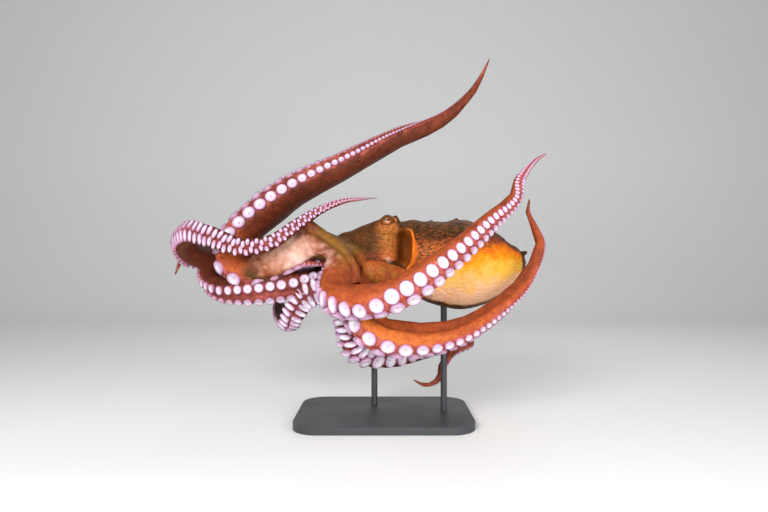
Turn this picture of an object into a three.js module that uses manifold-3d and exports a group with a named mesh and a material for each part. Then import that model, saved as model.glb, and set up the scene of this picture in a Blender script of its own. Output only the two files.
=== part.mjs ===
// A giant Pacific octopus as a life-size still model: swimming, arms spread, held on a display stand.
// Millimetres. +Z is up, the arms reach towards -X, the mantle ends towards +X and the animal's left side
// faces -Y. The flesh is modelled whole from sweeps and parted with thin cuts.
import * as THREE from "three";
import { mergeVertices } from "three/addons/utils/BufferGeometryUtils.js";
import Module from "manifold-3d";

const wasm = await Module();
wasm.setup();

// ---------------------------------------------------------------- driving sizes
const GAP = 0.3; // the cut between two pieces
const ARM_SIDES = 8;
const BODY_SIDES = 14;
const MANTLE_RINGS = 11;
const HEAD_RINGS = 7;
const SIPHON_RINGS = 4;
const SMALL_SIDES = 8; // of the siphon and the eyes
const RING_STEP = 42; // distance between two rings of an arm
const TIP_HALF_WIDTH = 2;
const BACK_NARROWING = 0.35; // how much narrower an arm is at the top of its back
const ORAL_DEPTH = 0.75; // from an arm's middle to its sucker face, in half widths
const BEND_SPAN = 15; // the stretch to each side over which a bend is measured
const BEND_ROOM = 0.8; // how near to a bend's centre the flesh inside it comes, as a share of its radius
const ROOT_REACH = 65; // how far past the crown's ring an arm's root belongs to the crown

const CROWN_MIDDLE = new THREE.Vector3(-100, -25, -35);
const CROWN_AXIS = new THREE.Vector3(-0.81, -0.27, -0.52).normalize(); // out of the mouth
const CROWN_RADIUS = 56; // the ring that the eight arms stand on
const CROWN_CORE = { ahead: 20, behind: 50, taper: 0.8 }; // its reach from the crown's middle
const HEAD_RING_RADIUS = 26; // where the arms begin, inside the head
const HEAD_RING_BACK = 55;

const SUCKER_SHARE = 0.86; // a sucker's diameter, in half widths of its arm
const SUCKER_PITCH = 1.1; // from one sucker to the next, in diameters
const SUCKER_OFFSET = 0.55; // a row's distance from the arm's middle line, in half widths
const SUCKER_SEAT = 0.6; // a rim's height over the arm's middle line, in half widths
const SUCKER_RISE = 0.16; // and how far it stands out along its own axis, in half widths
const SUCKER_HEIGHT = 0.75; // from its rim down to its foot inside the arm, in half widths
const SUCKER_FOOT = 0.7; // the foot's radius, as a share of the rim's
const FIRST_SUCKER = 0.01; // how far past the root it stands, as a share of the arm's length
const SUCKER_SPLAY = THREE.MathUtils.degToRad(42);
const SUCKER_SIDES = 6;
const SOLID_SUCKERS = 4; // suckers of each row that are in the solids; the smaller ones are skin detail

const WEB_THICKNESS = 5;
const WEB_SCALLOP = 0.25; // how far a web's free edge is drawn in between its arms, as a share of its depth
const TUCK_END = 0.8; // how far out a web's rise is whole again, as a share of its depth
const RIM_GROWTH = 0.12; // the stretch over which its free edge thickens
const WEB_GROWTH = 10; // how much further than the gap a grown web reaches past its edges

const EYE_RADIUS = 15;
const EYE_PLACE = [8, 50, 83]; // of the right eye; the left one mirrors it
const ORBIT = { place: [8, 43, 74], radii: [27, 22, 23] }; // the mound that carries an eye

const FLOOR_CLEARANCE = 60; // under the lowest arm
const BASE_SIZE = { x: 430, y: 300, z: 18, corner: 60 };
const ROD_RADIUS = 8;
const ROD_SIDES = 20;
const ROD_SOCKET = 22; // how deep a rod sits in the body
const RODS = { front: [-25, 62, -40], back: [150, 0, -124] }; // x, y and the height of the skin there

// ---------------------------------------------------------------- directions
const FORE = new THREE.Vector3(-1, 0, 0);
const AFT = new THREE.Vector3(1, 0, 0);
const LEFT = new THREE.Vector3(0, -1, 0);
const RIGHT = new THREE.Vector3(0, 1, 0);
const UP = new THREE.Vector3(0, 0, 1);
const DOWN = new THREE.Vector3(0, 0, -1);

// The turn that lays a cylinder, which stands along Y, along a direction.
const turnedTo = (way) => new THREE.Quaternion().setFromUnitVectors(new THREE.Vector3(0, 1, 0), way);
const toward = (...ways) => ways.reduce((sum, way) => sum.add(way), new THREE.Vector3()).normalize();

// A point on an arm's middle line, and the way that its suckers face there; without ways it turns evenly.
const at = (x, y, z, ...ways) => ({
  point: new THREE.Vector3(x, y, z),
  faces: ways.length ? toward(...ways) : null,
});

// ---------------------------------------------------------------- the eight arms
// clock: degrees round the crown from its top, towards the animal's left. width: half width at the root.
// fullness: how long the arm stays thick. keel: depth of the back in half widths, along the arm. girth: the
// arm's own swelling and narrowing.
const EVEN = [[0, 1], [1, 1]];
const ARMS = [
  {
    name: "arm_left_1",
    clock: 24,
    width: 40,
    fullness: 3,
    lengths: 5,
    keel: [
      [0, 0.8], [0.06, 1.2], [0.1, 1.7], [0.15, 1.6], [0.22, 1.05],
      [0.32, 1.45], [0.45, 2.1], [0.6, 1.65], [1, 1],
    ],
    path: [
      at(-210, -5, 8, DOWN, DOWN, RIGHT),
      at(-300, 0, -28, DOWN, DOWN, RIGHT),
      at(-357, 4, -44, DOWN, DOWN, LEFT),
      at(-396, 18, -12, FORE, FORE),
      at(-392, 36, 42, FORE, LEFT),
      at(-352, 53, 95, FORE, FORE, LEFT, LEFT, UP),
      at(-260, 70, 170, FORE, FORE, LEFT, LEFT, LEFT, UP, UP),
      at(-105, 95, 250, FORE, FORE, LEFT, LEFT, LEFT, UP, UP, UP),
      at(30, 110, 320, LEFT, LEFT, UP, UP, UP, UP),
      at(160, 120, 375, UP, UP, FORE),
      at(235, 120, 440, FORE, UP, RIGHT),
      at(270, 115, 500),
      at(285, 110, 535, FORE, FORE, UP),
    ],
  },
  {
    name: "arm_left_2",
    clock: 68,
    width: 42,
    fullness: 2.3,
    lengths: 4,
    keel: [[0, 1.1], [0.3, 1.15], [1, 1]],
    path: [
      at(-113, -108, -64, FORE, DOWN),
      at(-106, -165, -97, FORE, DOWN, LEFT),
      at(-40, -205, -100, LEFT, DOWN, DOWN),
      at(30, -220, -80, LEFT, LEFT, LEFT, DOWN, DOWN),
      at(140, -225, -5, LEFT, LEFT, LEFT, DOWN, DOWN),
      at(230, -210, 75, LEFT, LEFT, LEFT, DOWN, DOWN),
      at(285, -195, 125, LEFT, LEFT, DOWN, AFT),
      at(300, -185, 170, LEFT),
      at(335, -170, 210),
      at(365, -170, 230, FORE, LEFT, UP),
    ],
  },
  {
    name: "arm_left_3",
    clock: 112,
    width: 40,
    fullness: 2.4,
    lengths: 4,
    keel: [[0, 1.1], [0.25, 1.4], [0.5, 1.45], [0.75, 1.15], [1, 1]],
    girth: [[0, 1], [0.35, 1], [0.55, 0.8], [0.8, 0.82], [1, 1]],
    path: [
      at(-70, -108, -116, FORE, DOWN, LEFT),
      at(-25, -150, -178, LEFT, DOWN, FORE),
      at(65, -160, -195, LEFT, DOWN, DOWN),
      at(165, -150, -180, LEFT, DOWN, DOWN),
      at(255, -130, -130, LEFT, DOWN, DOWN, AFT),
      at(330, -105, -60, AFT, DOWN),
      at(370, -90, 25, AFT),
      at(360, -80, 65, AFT, UP),
      at(345, -70, 105, AFT),
      at(350, -65, 140, AFT),
    ],
  },
  {
    name: "arm_left_4",
    clock: 157,
    width: 36,
    fullness: 2.2,
    lengths: 4,
    keel: [[0, 1.1], [1, 1]],
    path: [
      at(-90, -50, -120, FORE),
      at(-85, -50, -175, FORE, FORE, LEFT),
      at(-70, -35, -222, FORE, LEFT, LEFT),
      at(10, 35, -255, LEFT, LEFT, LEFT, LEFT, DOWN),
      at(100, 95, -250, LEFT, LEFT, DOWN),
      at(170, 113, -230, DOWN),
      at(217, 92, -220, DOWN),
      at(212, 47, -226, DOWN),
      at(172, 32, -248, DOWN, AFT),
      at(150, 30, -284, AFT),
      at(138, 25, -316, AFT, DOWN),
      at(105, 20, -328, DOWN),
      at(70, 10, -310, DOWN),
    ],
  },
  {
    name: "arm_right_4",
    clock: -157,
    width: 35,
    fullness: 2.2,
    lengths: 4,
    keel: [[0, 1.1], [1, 1]],
    path: [
      at(-155, 0, -85, LEFT),
      at(-200, 8, -106, LEFT),
      at(-226, 20, -142, LEFT),
      at(-248, 50, -170, LEFT, DOWN),
      at(-272, 98, -166, DOWN, FORE),
      at(-288, 145, -135, FORE, RIGHT),
      at(-284, 175, -104, RIGHT, UP),
      at(-262, 192, -90, UP),
      at(-240, 205, -104, AFT, UP),
    ],
  },
  {
    name: "arm_right_3",
    clock: -112,
    width: 38,
    fullness: 2.4,
    lengths: 5,
    keel: [[0, 1.2], [0.3, 1.1], [1, 1]],
    path: [
      at(-170, 20, -70, LEFT),
      at(-250, 5, -78, LEFT, LEFT, DOWN),
      at(-335, 5, -88, LEFT, LEFT, DOWN),
      at(-415, 30, -85, DOWN, FORE, LEFT),
      at(-468, 90, -58, FORE, FORE, DOWN),
      at(-476, 150, -10, FORE, FORE, RIGHT),
      at(-464, 180, 38, RIGHT),
      at(-492, 194, 66, RIGHT),
      at(-530, 182, 45, RIGHT),
      at(-556, 155, 0, FORE, RIGHT),
      at(-570, 125, -55, FORE),
    ],
  },
  {
    name: "arm_right_2",
    clock: -68,
    width: 38,
    fullness: 2.4,
    lengths: 4,
    keel: [[0, 1.1], [0.4, 1.2], [1, 1]],
    path: [
      at(-172, 95, 4, FORE, DOWN),
      at(-162, 155, 14, FORE, DOWN),
      at(-105, 205, 18, RIGHT, DOWN, FORE),
      at(5, 240, 14, RIGHT, DOWN),
      at(135, 260, -12, RIGHT, DOWN),
      at(265, 250, -35, RIGHT, DOWN),
      at(345, 215, -15, AFT, RIGHT),
      at(340, 185, 30, AFT, UP),
      at(270, 175, 45, UP),
      at(220, 180, 15, FORE, UP),
    ],
  },
  {
    name: "arm_right_1",
    clock: -24,
    width: 38,
    fullness: 2.2,
    lengths: 6,
    keel: [[0, 0.8], [0.1, 1.1], [0.3, 1.1], [1, 0.95]],
    path: [
      at(-225, 105, -10, DOWN, RIGHT),
      at(-325, 118, -16, RIGHT, RIGHT, DOWN),
      at(-405, 116, -14, RIGHT),
      at(-472, 92, -6, FORE, RIGHT, RIGHT),
      at(-505, 50, 10, FORE),
      at(-505, 0, 37, FORE, FORE, LEFT, UP),
      at(-472, -40, 56, FORE, LEFT, LEFT, UP),
      at(-420, -60, 48, LEFT),
      at(-348, -70, 22, LEFT),
      at(-275, -75, 30, LEFT),
      at(-210, -70, 74, LEFT),
      at(-152, -65, 112, LEFT),
      at(-95, -60, 133, LEFT, LEFT, UP),
      at(-15, -50, 140, LEFT, UP),
    ],
  },
];

// The webs between neighbouring arms. reach: how far a web follows its two arms. rise: how high up their
// backs it stands, in half widths. tuck: the part of that rise that is missing at the crown. pull: how the
// middle of its free edge is drawn aside. belly: how far the sheet bulges, most at the place that lean gives
// (0.5 is the middle). rim: how much thicker each side of the free edge is, from rimFrom outwards.
const PLAIN_WEB = {
  rise: [0.4, 0.4],
  tuck: 0,
  pull: [0, 0, 0],
  belly: [0, 0, 0],
  lean: 0.5,
  rim: 0,
  rimFrom: 0.55,
  grid: [3, 3],
};
const WEBS = [
  {
    arms: ["arm_left_1", "arm_left_2"],
    reach: [110, 195],
    rise: [2.1, 1.25],
    tuck: 0.75,
    pull: [12, -20, 18],
    belly: [34, -15, 0],
    lean: 0.62,
    rim: 8,
    grid: [6, 4],
  },
  { arms: ["arm_left_2", "arm_left_3"], reach: [240, 230] },
  { arms: ["arm_left_3", "arm_left_4"], reach: [190, 180] },
  { arms: ["arm_left_4", "arm_right_4"], reach: [150, 150] },
  { arms: ["arm_right_4", "arm_right_3"], reach: [170, 180] },
  { arms: ["arm_right_3", "arm_right_2"], reach: [190, 170], belly: [20, 25, 0] },
  { arms: ["arm_right_2", "arm_right_1"], reach: [190, 190], belly: [25, 20, 20] },
  { arms: ["arm_right_1", "arm_left_1"], reach: [200, 180], belly: [10, 0, 15] },
].map((own) => ({ ...PLAIN_WEB, ...own }));

// x, y, z of the middle, half height and half width of sections across the body, from the head to the tail.
const MANTLE_SECTIONS = [
  [66, 0, 10, 74, 72],
  [88, 0, 5, 89, 84],
  [140, 0, -14, 110, 105],
  [196, 0, -22, 115, 112],
  [254, 0, -23, 99, 98],
  [304, 0, -22, 70, 71],
  [336, 0, -17, 41, 42],
  [354, 0, -15, 10, 10],
];
const HEAD_SECTIONS = [
  [92, 0, 14, 62, 44],
  [60, 0, 15, 73, 51],
  [36, 0, 16, 73, 57],
  [14, 0, 14, 78, 72],
  [-14, 0, 8, 80, 76],
  [-55, -5, -4, 74, 78],
  [-95, -20, -26, 62, 72],
];
const SIPHON_SECTIONS = [
  [78, -42, -48, 20, 18],
  [30, -66, -48, 24, 22],
  [-8, -82, -41, 27, 25],
  [-34, -90, -36, 26, 24],
  [-52, -92, -34, 16, 14],
];
const SIPHON_BORE = { radius: 10, floorRadius: 6, depth: 26 };
const MANTLE_OPENING = { place: [52, 66, 22], radii: [20, 38, 46] }; // one at each side of the neck

// ---------------------------------------------------------------- solids from three.js geometry
function solid(geometry) {
  const bare = geometry.clone();
  bare.deleteAttribute("normal");
  bare.deleteAttribute("uv");
  const merged = mergeVertices(bare, 1e-4);
  const make = (triVerts) =>
    new wasm.Manifold(
      new wasm.Mesh({ numProp: 3, vertProperties: merged.attributes.position.array, triVerts }),
    );
  const triangles = new Uint32Array(merged.index.array);
  const made = make(triangles);
  return made.volume() > 0 ? made : make(triangles.reverse());
}

function geometryOf(manifold) {
  const mesh = manifold.getMesh();
  const geometry = new THREE.BufferGeometry();
  geometry.setAttribute("position", new THREE.BufferAttribute(mesh.vertProperties, 3));
  geometry.setIndex(new THREE.BufferAttribute(mesh.triVerts, 1));
  geometry.computeVertexNormals();
  return geometry;
}

// A closed tube. sectionAt(share) gives a ring's middle, and reach(turn), the way out to its outline.
function sweep(sectionAt, rings, sides) {
  const tube = new THREE.CylinderGeometry(1, 1, 1, sides, rings);
  const places = tube.getAttribute("position");
  const stations = Array.from({ length: rings + 1 }, (_, i) => sectionAt(i / rings));
  for (let i = 0; i < places.count; i++) {
    const [x, y, z] = [places.getX(i), places.getY(i), places.getZ(i)];
    const { middle, reach } = stations[Math.round((0.5 - y) * rings)];
    const point = reach(Math.atan2(x, z)).multiplyScalar(Math.hypot(x, z)).add(middle);
    places.setXYZ(i, point.x, point.y, point.z);
  }
  return solid(tube);
}

// A closed sheet over pointAt(u, v); thicknessAt(v) is its thickness from its root, 0, to its free edge, 1.
function sheet(pointAt, thicknessAt, columns, rows) {
  const slab = new THREE.BoxGeometry(1, 1, 1, columns, rows, 1);
  const places = slab.getAttribute("position");
  const step = 0.01;
  for (let i = 0; i < places.count; i++) {
    const [u, v] = [places.getX(i) + 0.5, places.getY(i) + 0.5];
    const along = pointAt(u + step, v).sub(pointAt(u - step, v));
    const out = pointAt(u, v + step).sub(pointAt(u, v - step));
    const normal = along.cross(out).normalize();
    const point = pointAt(u, v).addScaledVector(normal, places.getZ(i) * thicknessAt(v));
    places.setXYZ(i, point.x, point.y, point.z);
  }
  return solid(slab);
}

function ball(middle, radii, grow = 0) {
  const sphere = new THREE.SphereGeometry(1, SMALL_SIDES, SMALL_SIDES / 2 + 1);
  sphere.scale(...radii.map((radius) => radius + grow));
  sphere.translate(...middle);
  return solid(sphere);
}

// The value at share of a list of [share, value] pairs, straight between them.
function along(pairs, share) {
  const after = pairs.findIndex(([place]) => place >= share);
  if (after <= 0) return pairs[Math.max(after, 0)][1];
  const [[a, from], [b, to]] = [pairs[after - 1], pairs[after]];
  return THREE.MathUtils.lerp(from, to, (share - a) / (b - a));
}

// ---------------------------------------------------------------- arms
const CROWN_TOP = UP.clone().addScaledVector(CROWN_AXIS, -UP.dot(CROWN_AXIS)).normalize();
const CROWN_LEFT = CROWN_TOP.clone().cross(CROWN_AXIS).normalize();

// The way outwards from the crown's axis at an arm's place on the ring.
function outward(clock) {
  const turn = THREE.MathUtils.degToRad(clock);
  return CROWN_TOP.clone()
    .multiplyScalar(Math.cos(turn))
    .addScaledVector(CROWN_LEFT, Math.sin(turn));
}

function prepare(arm) {
  const out = outward(arm.clock);
  const ring = CROWN_MIDDLE.clone().addScaledVector(out, CROWN_RADIUS);
  const start = CROWN_MIDDLE.clone()
    .addScaledVector(out, HEAD_RING_RADIUS)
    .addScaledVector(CROWN_AXIS, -HEAD_RING_BACK);
  const inward = CROWN_AXIS.clone().sub(out).normalize();
  const stops = [
    { point: start, faces: inward },
    { point: ring, faces: inward },
    ...arm.path,
  ];
  const line = new THREE.CatmullRomCurve3(stops.map((stop) => stop.point), false, "centripetal");
  line.arcLengthDivisions = 40 * stops.length;
  const length = line.getLength();
  const rootEnd = (start.distanceTo(ring) + ROOT_REACH) / length;
  return { girth: EVEN, ...arm, stops, line, length, rootEnd };
}

// Where the suckers face at t, the curve's own parameter.
function facingAt(arm, t) {
  const place = t * (arm.stops.length - 1);
  const before = arm.stops.findLastIndex((stop, i) => stop.faces && i <= place + 1e-9);
  const after = arm.stops.findIndex((stop, i) => stop.faces && i > before);
  if (after < 0) return arm.stops[before].faces.clone();
  const share = THREE.MathUtils.smoothstep(place, before, after);
  return arm.stops[before].faces.clone().lerp(arm.stops[after].faces, share);
}

const halfWidth = (arm, share) =>
  TIP_HALF_WIDTH + (arm.width - TIP_HALF_WIDTH) * (1 - share ** arm.fullness) * along(arm.girth, share);

// The arm's middle, its directions (ahead, side, face) and its half width at a share of its length.
function frameAt(arm, share) {
  const t = arm.line.getUtoTmapping(share);
  const ahead = arm.line.getTangent(t);
  const face = facingAt(arm, t);
  face.addScaledVector(ahead, -face.dot(ahead)).normalize();
  const side = ahead.clone().cross(face).normalize();
  return { middle: arm.line.getPoint(t), ahead, side, face, width: halfWidth(arm, share) };
}

// How the arm bends at a share of its length: towards the bend's centre, as long as one over its radius.
function bendAt(arm, share) {
  const span = BEND_SPAN / arm.length;
  const [before, after] = [Math.max(share - span, 0), Math.min(share + span, 1)];
  const turned = arm.line.getTangentAt(after).sub(arm.line.getTangentAt(before));
  return turned.divideScalar((after - before) * arm.length);
}

function armTube(arm, from, to, grow) {
  const rings = Math.max(2, Math.round(((to - from) * arm.length) / RING_STEP));
  const sectionAt = (part) => {
    const share = THREE.MathUtils.lerp(from, to, part);
    const { middle, side, face, width } = frameAt(arm, share);
    const wide = width + grow;
    const keel = wide * along(arm.keel, share);
    const bend = bendAt(arm, share);
    const reach = (turn) => {
      const out = Math.cos(turn);
      const across = Math.sin(turn) * (out < 0 ? 1 - BACK_NARROWING * out * out : 1);
      const way = side.clone().multiplyScalar(wide * across);
      way.addScaledVector(face, out * (out > 0 ? wide * ORAL_DEPTH : keel));
      const excess = way.dot(bend) - BEND_ROOM;
      return excess > 0 ? way.addScaledVector(bend, -excess / bend.lengthSq()) : way;
    };
    return { middle, reach };
  };
  return sweep(sectionAt, rings, ARM_SIDES);
}

// The places of the solid suckers: the share of the arm's length, and which row each is in.
function suckerPlaces(arm) {
  const places = [];
  for (const row of [-1, 1]) {
    let share = arm.rootEnd + FIRST_SUCKER;
    for (let i = 0; i < SOLID_SUCKERS; i++) {
      const pitch = (SUCKER_PITCH * SUCKER_SHARE * halfWidth(arm, share)) / arm.length;
      places.push({ row, share: share + (row > 0 ? pitch / 2 : 0) });
      share += pitch;
    }
  }
  return places;
}

function sucker(arm, { row, share }, grow) {
  const { middle, side, face, width } = frameAt(arm, share);
  const radius = (SUCKER_SHARE * width) / 2;
  const height = width * SUCKER_HEIGHT;
  const axis = face
    .clone()
    .multiplyScalar(Math.cos(SUCKER_SPLAY))
    .addScaledVector(side, row * Math.sin(SUCKER_SPLAY));
  const rim = middle
    .clone()
    .addScaledVector(side, row * width * SUCKER_OFFSET)
    .addScaledVector(face, width * SUCKER_SEAT)
    .addScaledVector(axis, width * SUCKER_RISE);
  const cup = new THREE.CylinderGeometry(
    radius + grow,
    radius * SUCKER_FOOT + grow,
    height + 2 * grow,
    SUCKER_SIDES,
  );
  cup.translate(0, -height / 2, 0);
  cup.applyQuaternion(turnedTo(axis));
  cup.translate(rim.x, rim.y, rim.z);
  return solid(cup);
}

// One length of an arm with the suckers that stand on it.
function armLength(arm, from, to, grow) {
  const tube = armTube(arm, from, to, grow);
  const cups = suckerPlaces(arm)
    .filter(({ share }) => share > from && share < to)
    .map((place) => sucker(arm, place, grow));
  return cups.reduce((joined, cup) => joined.add(cup), tube);
}

// ---------------------------------------------------------------- body
function bodySweep(sections, rings, sides, grow) {
  const middles = new THREE.CatmullRomCurve3(sections.map(([x, y, z]) => new THREE.Vector3(x, y, z)));
  const sizes = new THREE.CatmullRomCurve3(
    sections.map(([, , , high, wide]) => new THREE.Vector3(high, wide, 0)),
  );
  const sectionAt = (share) => {
    const ahead = middles.getTangent(share);
    const face = UP.clone().addScaledVector(ahead, -UP.dot(ahead)).normalize();
    const side = ahead.clone().cross(face).normalize();
    const size = sizes.getPoint(share);
    const reach = (turn) =>
      side
        .clone()
        .multiplyScalar((size.y + grow) * Math.sin(turn))
        .addScaledVector(face, (size.x + grow) * Math.cos(turn));
    return { middle: middles.getPoint(share), reach };
  };
  return sweep(sectionAt, rings, sides);
}

const bothSides = (make) => [-1, 1].map(make);
const mirrored = ([x, y, z], side) => [x, y * side, z];

// A body with the mantle's two openings hollowed out of it.
function opened(body, grow) {
  const { place, radii } = MANTLE_OPENING;
  const openings = bothSides((side) => ball(mirrored(place, side), radii, -grow));
  return openings.reduce((left, hole) => left.subtract(hole), body);
}

function mantle(grow) {
  return opened(bodySweep(MANTLE_SECTIONS, MANTLE_RINGS, BODY_SIDES, grow), grow);
}

function head(grow) {
  const orbits = bothSides((side) => ball(mirrored(ORBIT.place, side), ORBIT.radii, grow));
  const body = bodySweep(HEAD_SECTIONS, HEAD_RINGS, BODY_SIDES, grow);
  return opened(
    orbits.reduce((joined, orbit) => joined.add(orbit), body),
    grow,
  );
}

function eye(side, grow) {
  return ball(mirrored(EYE_PLACE, side), [EYE_RADIUS, EYE_RADIUS, EYE_RADIUS], grow);
}

function siphon(grow) {
  const tube = bodySweep(SIPHON_SECTIONS, SIPHON_RINGS, SMALL_SIDES, grow);
  const [end, before] = [SIPHON_SECTIONS.at(-1), SIPHON_SECTIONS.at(-2)].map(
    ([x, y, z]) => new THREE.Vector3(x, y, z),
  );
  const way = end.clone().sub(before).normalize();
  const bore = new THREE.CylinderGeometry(
    SIPHON_BORE.radius - grow,
    SIPHON_BORE.floorRadius - grow,
    2 * SIPHON_BORE.depth,
    SMALL_SIDES,
  );
  bore.applyQuaternion(turnedTo(way));
  bore.translate(end.x, end.y, end.z);
  return tube.subtract(solid(bore));
}

// The arms' roots, joined round a core that carries the mouth.
function crown(arms, grow) {
  const { ahead, behind, taper } = CROWN_CORE;
  const radius = CROWN_RADIUS + grow;
  const core = new THREE.CylinderGeometry(radius * taper, radius, ahead + behind + 2 * grow, BODY_SIDES);
  core.translate(0, (ahead - behind) / 2, 0);
  core.applyQuaternion(turnedTo(CROWN_AXIS));
  core.translate(...CROWN_MIDDLE);
  return arms.reduce((joined, arm) => joined.add(armTube(arm, 0, arm.rootEnd, grow)), solid(core));
}

function web({ arms: names, reach, rise, tuck, pull, belly, lean, rim, rimFrom, grid }, arms, grow) {
  const pair = names.map((name) => arms.find((arm) => arm.name === name));
  const edges = pair.map((arm, i) => (v) => {
    const share = (HEAD_RING_BACK + reach[i] * Math.max(v, 0)) / arm.length;
    const { middle, face, width } = frameAt(arm, share);
    const up = rise[i] * (1 - tuck * (1 - THREE.MathUtils.smoothstep(v, 0, TUCK_END)));
    return middle.addScaledVector(face, -up * width);
  });
  const straight = (u, v) => edges[0](v).lerp(edges[1](v), u);
  const drawn = straight(0.5, 0)
    .sub(straight(0.5, 1))
    .multiplyScalar(WEB_SCALLOP)
    .add(new THREE.Vector3(...pull));
  const stretch = 1 + (WEB_GROWTH * grow) / reach[0];
  const pointAt = (ownU, ownV) => {
    const u = 0.5 + (ownU - 0.5) * stretch;
    const v = ownV * stretch;
    const across = Math.max(u, 0) ** (Math.log(0.5) / Math.log(lean));
    const bow = 4 * across * (1 - across);
    return straight(u, v)
      .addScaledVector(drawn, bow * v * v)
      .addScaledVector(new THREE.Vector3(...belly), bow * 4 * v * (1 - v));
  };
  const thicknessAt = (v) =>
    WEB_THICKNESS + 2 * (grow + rim * THREE.MathUtils.smoothstep(v, rimFrom, rimFrom + RIM_GROWTH));
  return sheet(pointAt, thicknessAt, ...grid);
}

// ---------------------------------------------------------------- stand
function rod([x, y, skin], top, bottom, grow) {
  const height = top - bottom;
  const radius = ROD_RADIUS + grow;
  const bar = new THREE.CylinderGeometry(radius, radius, height + 2 * grow, ROD_SIDES);
  bar.rotateX(Math.PI / 2);
  bar.translate(x, y, bottom + height / 2);
  return solid(bar);
}

function standBase(top, grow) {
  const { x, y, z, corner } = BASE_SIZE;
  const outline = new THREE.Shape();
  const [right, far, radius] = [x / 2 - corner, y / 2 - corner, corner + grow];
  outline.absarc(right, far, radius, 0, Math.PI / 2);
  outline.absarc(-right, far, radius, Math.PI / 2, Math.PI);
  outline.absarc(-right, -far, radius, Math.PI, 1.5 * Math.PI);
  outline.absarc(right, -far, radius, 1.5 * Math.PI, 2 * Math.PI);
  const plate = new THREE.ExtrudeGeometry(outline, {
    depth: z + 2 * grow,
    bevelEnabled: false,
    curveSegments: 4,
  });
  plate.translate(0, 0, top - z - grow);
  return solid(plate);
}

// ---------------------------------------------------------------- parting
// Every piece gives its solid at its own size, and grown by the gap. Each new piece is cut back from the
// grown pieces before it, and keeps its largest body.
const fitted = [];

function touches(a, b) {
  const [first, second] = [a.boundingBox(), b.boundingBox()];
  return [0, 1, 2].every((i) => first.min[i] < second.max[i] && second.min[i] < first.max[i]);
}

function largest(manifold) {
  return manifold.decompose().reduce((most, body) => (body.volume() > most.volume() ? body : most));
}

function fit(name, material, shape) {
  let piece = shape(0);
  for (const earlier of fitted) if (touches(piece, earlier)) piece = piece.subtract(earlier);
  const kept = largest(piece);
  fitted.push(shape(GAP));
  const mesh = new THREE.Mesh(geometryOf(kept), material);
  mesh.name = name;
  return mesh;
}

// ---------------------------------------------------------------- materials
const material = (color, roughness, metalness = 0) =>
  new THREE.MeshStandardMaterial({ color, roughness, metalness });
const SKIN = material(0xa8481f, 0.5);
const WEB_SKIN = material(0xb86a45, 0.55);
const EYE = material(0x8a4a10, 0.15);
const STAND = material(0x1d1f22, 0.45, 0.6);

// ---------------------------------------------------------------- assembly
const arms = ARMS.map(prepare);
const animal = new THREE.Group();
const stand = new THREE.Group();

const lowest = Math.min(...arms.flatMap((arm) => arm.stops.map((stop) => stop.point.z)));
const baseTop = lowest - FLOOR_CLEARANCE;

stand.add(fit("stand_base", STAND, (grow) => standBase(baseTop, grow)));
for (const [name, place] of Object.entries(RODS))
  stand.add(
    fit(`stand_rod_${name}`, STAND, (grow) => rod(place, place[2] + ROD_SOCKET, baseTop + GAP, grow)),
  );

animal.add(fit("eye_left", EYE, (grow) => eye(-1, grow)));
animal.add(fit("eye_right", EYE, (grow) => eye(1, grow)));
animal.add(fit("head", SKIN, head));
animal.add(fit("mantle", SKIN, mantle));
animal.add(fit("crown", SKIN, (grow) => crown(arms, grow)));
animal.add(fit("siphon", SKIN, siphon));

for (const arm of arms) {
  const step = (1 - arm.rootEnd) / arm.lengths;
  const cut = GAP / 2 / arm.length;
  for (let i = 0; i < arm.lengths; i++) {
    const from = arm.rootEnd + i * step + cut;
    const to = i === arm.lengths - 1 ? 1 : arm.rootEnd + (i + 1) * step - cut;
    animal.add(fit(`${arm.name}_length_${i + 1}`, SKIN, (grow) => armLength(arm, from, to, grow)));
  }
}
for (const sheetBetween of WEBS) {
  const name = sheetBetween.arms.join("_to_").replaceAll("arm_", "");
  animal.add(fit(`web_${name}`, WEB_SKIN, (grow) => web(sheetBetween, arms, grow)));
}

const model = new THREE.Group();
model.add(animal, stand);

// The origin is under the middle of the whole, on the floor.
const bounds = new THREE.Box3().setFromObject(model);
const centre = bounds.getCenter(new THREE.Vector3());
model.position.set(-centre.x, -centre.y, -bounds.min.z);

export default model;
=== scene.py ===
"""A giant Pacific octopus as a life-size still model on a display stand.

Sizes in the tables are millimetres in the animal's own frame: the arms reach towards -X, the mantle ends
towards +X and the left side faces -Y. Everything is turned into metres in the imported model's frame at the
end of each shape.
"""

import math

import bmesh
import bpy
import numpy as np
from bpy.props import FloatProperty, FloatVectorProperty, IntProperty, PointerProperty
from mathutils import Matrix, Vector, kdtree


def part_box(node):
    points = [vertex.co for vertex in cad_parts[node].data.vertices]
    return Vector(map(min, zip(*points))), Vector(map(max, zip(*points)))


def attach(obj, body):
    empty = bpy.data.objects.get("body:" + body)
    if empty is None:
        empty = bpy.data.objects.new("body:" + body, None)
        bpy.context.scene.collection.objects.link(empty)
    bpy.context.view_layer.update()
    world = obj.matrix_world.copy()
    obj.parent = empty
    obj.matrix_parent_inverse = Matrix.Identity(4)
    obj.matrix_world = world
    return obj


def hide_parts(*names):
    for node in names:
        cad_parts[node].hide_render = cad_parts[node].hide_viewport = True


bl_info = {
    "name": "Octopus on a stand",
    "version": (1, 0, 0),
    "blender": (4, 5, 0),
    "location": "View3D > Sidebar > Octopus",
    "description": "Skins, suckers, eyes, beak, stand finish and studio of a swimming octopus",
    "category": "Object",
}

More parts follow.
